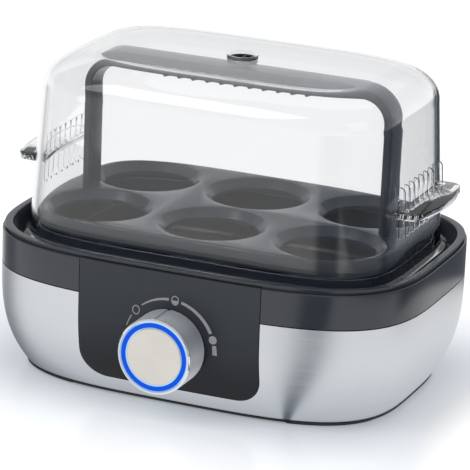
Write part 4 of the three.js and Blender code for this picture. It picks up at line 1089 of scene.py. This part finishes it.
lid_foot = 50.7 * mm
lid_top = 131.4 * mm
lid_wall = 2 * mm
shoulder_reach = 19 * mm
shoulder_rise = 14.5 * mm
shoulder_start = lid_top - shoulder_rise
side_start = 69 * mm
lid_lean = 0.055
foot_flare = 2.2 * mm
tab_height = 83.6 * mm
tab_half = 1.35 * mm
tab_corner = 7 * mm
clear_plastic = bpy.data.materials.new("clear_plastic")
clear_plastic.use_nodes = True
tree = clear_plastic.node_tree
calc = calculator(tree)
shader = tree.nodes["Principled BSDF"]
place = add(tree, "ShaderNodeTexCoord").outputs["Object"]
flow = add(tree, "ShaderNodeTexNoise", Vector=place, Scale=24.0, Detail=1.0).outputs["Fac"]
waves = add(tree, "ShaderNodeBump", Height=flow, Strength=1.0, Distance=0.008 * mm)
feed(
    shader, Base_Color=(0.985, 0.99, 0.995, 1), IOR=1.49, Transmission_Weight=1.0,
    Roughness=calc("MULTIPLY_ADD", flow, 0.02, 0.004), Normal=waves.outputs[0],
)
lamp_way = add(tree, "ShaderNodeBsdfTransparent", Color=(0.93, 0.94, 0.945, 1))


def blended(tree, one, other, share=None):
    """Two shaders added up, or mixed by a share."""
    kind, first = ("ShaderNodeAddShader", 0) if share is None else ("ShaderNodeMixShader", 1)
    made = add(tree, kind, **({} if share is None else {"Fac": share}))
    fill(tree, made.inputs[first], one.outputs[0])
    fill(tree, made.inputs[first + 1], other.outputs[0])
    return made


in_shade = add(tree, "ShaderNodeLightPath").outputs["Is Shadow Ray"]
feed(tree.nodes["Material Output"], Surface=blended(tree, shader, lamp_way, in_shade).outputs[0])


def lid_inset(z):
    """How far the lid's side leans in at a height."""
    return lid_lean * (z - lid_foot)


def lid_side(wall):
    """The upper side of the lid, its rounded shoulder and a first ring on the flat top, a wall inside it."""
    profile = [(wall + lid_inset(z), z) for z in np.linspace(side_start, shoulder_start, 9)[:-1]]
    for turn in np.linspace(0, math.pi / 2, 22):
        reach = (shoulder_reach - wall) * (1 - math.cos(turn)) + wall
        rise = (shoulder_rise - wall) * math.sin(turn)
        profile.append((lid_inset(shoulder_start) + reach, shoulder_start + rise))
    return profile + [(profile[-1][0] + 4 * mm, profile[-1][1])]


foot_top = lid_foot + 6.4 * mm
foot_profile = filleted([
    (lid_wall, lid_foot), (-foot_flare, lid_foot, 0.9 * mm), (-foot_flare, lid_foot + 5.4 * mm, 1.0 * mm),
    (lid_inset(foot_top), foot_top, 1.2 * mm), (lid_inset(side_start), side_start),
], steps=6)
fine_angles = even_angles(lid_outline, 320)
lid_profile = lid_side(lid_wall)[::-1] + foot_profile[:-1] + lid_side(0)
lid = skin("clear_lid", lid_outline, lid_profile, fine_angles)


def tab_outline(side):
    """The plan of a grip tab, whose corners are round and whose front edge swells."""
    root = lid_outline["half_length"] - lid_inset(tab_height) - 1 * mm
    corner = root + 11.2 * mm
    half = 26 * mm
    outline = [(root, -half), (corner - tab_corner, -half)]
    for share in np.linspace(0, 1, 13)[1:]:
        outline.append((corner - tab_corner * (1 - share) ** 2, -half + tab_corner * share**2))
    for share in np.linspace(-1, 0, 13)[1:]:
        outline.append((corner + 2.5 * mm * (1 - share**2), share * (half - tab_corner)))
    outline += [(x, -y) for x, y in reversed(outline[:-1])]
    return [(side * x, middle + y) for x, y in outline]


def fin_tree():
    """A row of upright fins along Y, each a thin plate that stands out from a leaning wall."""
    tree, sizes = new_tree(
        "grip_fins", Count=3, Pitch=0.01, Thickness=0.001, Wall_Low=0.1, Wall_High=0.1, Depth=0.002,
        Low=0.0, High=0.1, Rounding=0.001, Side=1.0, Middle=0.0,
    )
    calc = calculator(tree)
    out_low = calc("ADD", sizes["Wall Low"], sizes["Depth"])
    out_high = calc("ADD", sizes["Wall High"], sizes["Depth"])
    low, high, rounding = sizes["Low"], sizes["High"], sizes["Rounding"]
    less = calc("MULTIPLY", rounding, 0.3)
    corners = (
        (calc("SUBTRACT", sizes["Wall Low"], 1 * mm), low),
        (calc("SUBTRACT", out_low, rounding), low),
        (calc("SUBTRACT", out_low, less), calc("ADD", low, less)),
        (out_low, calc("ADD", low, rounding)),
        (out_high, calc("SUBTRACT", high, rounding)),
        (calc("SUBTRACT", out_high, less), calc("SUBTRACT", high, less)),
        (calc("SUBTRACT", out_high, rounding), high),
        (calc("SUBTRACT", sizes["Wall High"], 1 * mm), high),
    )
    plate = add(tree, "GeometryNodeMeshCircle", {"fill_type": "NGON"}, Vertices=len(corners), Radius=0.01)
    index = tree.nodes.new("GeometryNodeInputIndex").outputs[0]
    x, z = 0.0, 0.0
    for number, (across, height) in enumerate(corners):
        here = calc("COMPARE", index, float(number), 0.1)
        x = calc("MULTIPLY_ADD", here, across, x)
        z = calc("MULTIPLY_ADD", here, height, z)
    place = add(tree, "ShaderNodeCombineXYZ", X=calc("MULTIPLY", x, sizes["Side"]),
                Y=calc("MULTIPLY", sizes["Thickness"], 0.5), Z=z)
    shaped = add(tree, "GeometryNodeSetPosition", Geometry=plate.outputs[0], Position=place.outputs[0])
    away = add(tree, "ShaderNodeCombineXYZ", Y=calc("MULTIPLY", sizes["Thickness"], -1.0)).outputs[0]
    thick = add(tree, "GeometryNodeExtrudeMesh", Mesh=shaped.outputs[0], Offset=away, Individual=False)
    closed = welded(tree, thick.outputs["Mesh"], shaped.outputs[0])
    close_tree(tree, in_row(tree, sizes, closed, "Y", Y=sizes["Middle"]), sizes["Finish"])
    return tree


fin_shape = fin_tree()
fin_low, fin_high = 73.1 * mm, 94.1 * mm
for side in (-1.0, 1.0):
    tab = new_piece("tab", *prism(tab_outline(side), tab_height - tab_half, tab_height + tab_half))
    round_edges(tab, 0.45 * mm, 3, 40)
    fins = grown(
        "fins", fin_shape, clear_plastic, Count=9, Pitch=5.4 * mm, Thickness=1.1 * mm,
        Wall_Low=lid_outline["half_length"] - lid_inset(fin_low),
        Wall_High=lid_outline["half_length"] - lid_inset(fin_high),
        Depth=2.3 * mm, Low=fin_low, High=fin_high, Rounding=1.6 * mm, Side=side, Middle=middle,
    )
    tidy(fins)
    combine(lid, [tab, fins], "UNION")
vent_boss_radius, vent_hole_radius = 6.4 * mm, 5.1 * mm
for radius, low, high, fillet, operation in (
    (vent_boss_radius, 1 * mm, 1.2 * mm, 0.4 * mm, "UNION"),
    (vent_hole_radius, 5 * mm, 5 * mm, 0.0, "DIFFERENCE"),
):
    under, over = lid_top - low, lid_top + high
    corners = [(0, under), (radius, under), (radius, over, fillet), (0, over)]
    combine(lid, [turned_piece("vent_boss", corners, upright_at(0, middle))], operation)
finish(lid, clear_plastic, "lid", ["lid"], crease=28)

# Steam vent
# A small black plug clipped into the boss from inside the lid. Its opening is split by one bar.

plug_top = lid_top + 0.1 * mm
plug_low, clip_top = 127.9 * mm, 129.1 * mm
plug_bore, plug_radius, clip_radius = 3.9 * mm, 4.8 * mm, 6.2 * mm
plug = turned_piece("vent_plug", [
    (plug_bore, plug_low, 0.2 * mm), (clip_radius, plug_low, 0.3 * mm), (clip_radius, clip_top, 0.2 * mm),
    (plug_radius, clip_top), (plug_radius, plug_top, 0.3 * mm), (plug_bore, plug_top, 0.2 * mm),
], upright_at(0, middle), steps=72)
bar = block_across("bar", -0.6 * mm, 0.6 * mm, 4.2 * mm, 128 * mm, plug_top - 0.1 * mm)
combine(plug, [bar], "UNION")
finish(plug, black_plastic, "lid", ["vent_insert"])

# Studio
# A pale glossy floor with a painted shadow round the body, an even white surround and two large soft lamps.
# The metal
# sees a painted reflection: the floor darker close to the body, in two dark stripes and far off to the right
# and rear right, and the sky grey overhead and to the right. The camera stands before the right corner, above
# the body.

floor_half = 3.0
floor = new_piece("studio_floor", [
    (-floor_half, -floor_half, 0), (floor_half, -floor_half, 0), (floor_half, floor_half, 0),
    (-floor_half, floor_half, 0),
], [(0, 1, 2, 3)])
white_floor = bpy.data.materials.new("white_floor")
white_floor.use_nodes = True
tree = white_floor.node_tree
tree.nodes.clear()


def seen_directly(tree):
    """1 for a ray that comes from the camera, a mirroring surface or glass, otherwise 0."""
    path = add(tree, "ShaderNodeLightPath").outputs
    calc = calculator(tree)
    seen = calc("MAXIMUM", path["Is Camera Ray"], path["Is Glossy Ray"])
    return calc("MAXIMUM", seen, path["Is Transmission Ray"])


calc = calculator(tree)
spot = spot_of(tree)
bend = body_outline["corner_power"]
across = calc("POWER", calc("DIVIDE", calc("ABSOLUTE", spot["X"]), body_outline["half_length"]), bend)
deep = calc("ABSOLUTE", calc("SUBTRACT", spot["Y"], middle))
deep = calc("POWER", calc("DIVIDE", deep, body_outline["half_width"]), bend)
distance = calc("POWER", calc("ADD", across, deep), 1 / bend)
full, none = (1, 1, 1), (0, 0, 0)
near_share = calc("MULTIPLY_ADD", distance, 0.5, -0.35)
# Painted reflection: the floor that the metal mirrors is painted darker near the body, in two dark stripes,
# and far off to the right and rear right; only mirroring rays see it.
shade_near = colour_steps(
    tree, near_share, (0.07, (0.59, 0.61, 0.64)), (0.15, (0.78, 0.80, 0.83)),
    (0.27, (0.92, 0.93, 0.94)), (0.46, full),
)
pivot_x, pivot_y = 45 * mm, -40 * mm
swing = calc("ARCTAN2", calc("SUBTRACT", spot["X"], pivot_x), calc("SUBTRACT", pivot_y, spot["Y"]))
swing_share = calc("MULTIPLY_ADD", swing, 0.5 / math.pi, 0.5)
first_grey, second_grey = (0.33, 0.34, 0.36), (0.24, 0.26, 0.29)
painted_dark_stripes = colour_steps(
    tree, swing_share, (0.18, full), (0.215, first_grey), (0.245, first_grey), (0.27, full),
    (0.51, full), (0.525, second_grey), (0.575, second_grey), (0.59, full),
)
far_right = colour_steps(tree, spot["X"], (0.29, full), (0.33, (0.34, 0.36, 0.39)))
ahead = colour_steps(tree, swing_share, (0.79, full), (0.84, none))
far_off = colour_steps(tree, calc("MULTIPLY", distance, 0.25), (0.55, full), (0.60, (0.16, 0.18, 0.21)))
rear_right = times(tree, far_off, ahead, "MAXIMUM")
mirrored = times(tree, times(tree, shade_near, painted_dark_stripes), times(tree, far_right, rear_right))
painted_reflection = add(tree, "ShaderNodeEmission", Color=mirrored, Strength=1.0)
matt = add(tree, "ShaderNodeBsdfDiffuse", Color=(0.34, 0.355, 0.37, 1))
shine = add(tree, "ShaderNodeBsdfGlossy", Color=(0.13, 0.13, 0.13, 1), Roughness=0.2)
# Painted shadow: the white glow of the floor that the camera sees is darker close to the body, except far to
# the right.
painted_floor_shadow = colour_steps(
    tree, near_share, (0.12, (0.38, 0.41, 0.44)), (0.225, (0.60, 0.62, 0.65)),
    (0.31, (0.75, 0.77, 0.79)), (0.385, (0.83, 0.84, 0.86)), (0.53, (0.93, 0.93, 0.94)), (0.65, full),
)
open_right = colour_steps(tree, calc("MULTIPLY", spot["X"], 5.0), (0.38, none), (0.58, full))
white = add(tree, "ShaderNodeEmission", Color=times(tree, painted_floor_shadow, open_right, "MAXIMUM"), Strength=0.76)
shown = blended(tree, blended(tree, matt, shine), white)
plain = add(tree, "ShaderNodeBsdfDiffuse", Color=(0.75, 0.75, 0.75, 1))
mixed = blended(tree, plain, shown, seen_directly(tree))
in_mirror = add(tree, "ShaderNodeLightPath").outputs["Is Glossy Ray"]
whole = blended(tree, mixed, painted_reflection, in_mirror)
add(tree, "ShaderNodeOutputMaterial", Surface=whole.outputs[0])
floor.data.materials.append(white_floor)

world = bpy.data.worlds.new("surround")
bpy.context.scene.world = world
world.use_nodes = True
tree = world.node_tree
calc = calculator(tree)
way = spot_of(tree, "Generated")
# Painted reflection: mirroring rays see the sky greyer overhead and towards the right, all other rays see it
# white.
painted_sky_shade = colour_steps(tree, way["Z"], (0.02, full), (0.14, (0.86, 0.87, 0.88)), (0.34, (0.58, 0.60, 0.62)))
side = colour_steps(tree, way["X"], (0.55, full), (0.80, (0.52, 0.54, 0.57)))
not_mirrored = calc("SUBTRACT", 1.0, add(tree, "ShaderNodeLightPath").outputs["Is Glossy Ray"])
feed(
    tree.nodes["Background"], Color=times(tree, times(tree, painted_sky_shade, side), not_mirrored, "MAXIMUM"),
    Strength=calc("MULTIPLY_ADD", seen_directly(tree), 0.4, 0.6),
)


def lamp(name, place, size, power):
    """A square soft lamp that faces the middle of the body."""
    light = bpy.data.lights.new(name, "AREA")
    light.size = size
    light.energy = power
    made = new_object(name, light)
    made.location = place
    made.visible_glossy = False
    made.rotation_euler = (Vector((0, middle, 0.06)) - Vector(place)).to_track_quat("-Z", "Y").to_euler()


lamp("key_lamp", (-0.7, -0.9, 1.3), 0.9, 9)
lamp("fill_lamp", (1.1, -0.5, 0.9), 0.9, 3)

right = Vector((0.91784, 0.39513, 0.03795))
up = Vector((-0.15357, 0.26530, 0.95186))
back = Vector((0.36604, -0.87948, 0.30418))
camera_place = Vector((0.47675, -1.13866, 0.45229))
sensor_width, focal_length = 36, 242.64
camera_data = bpy.data.cameras.new("camera")
camera_data.sensor_width = sensor_width
camera_data.lens = focal_length
camera = new_object("camera", camera_data)
facing = Matrix((right.normalized(), up.normalized(), back.normalized())).transposed().to_4x4()
camera.matrix_world = Matrix.Translation(camera_place) @ facing
bpy.context.scene.camera = camera
bpy.context.scene.view_settings.view_transform = "Standard"
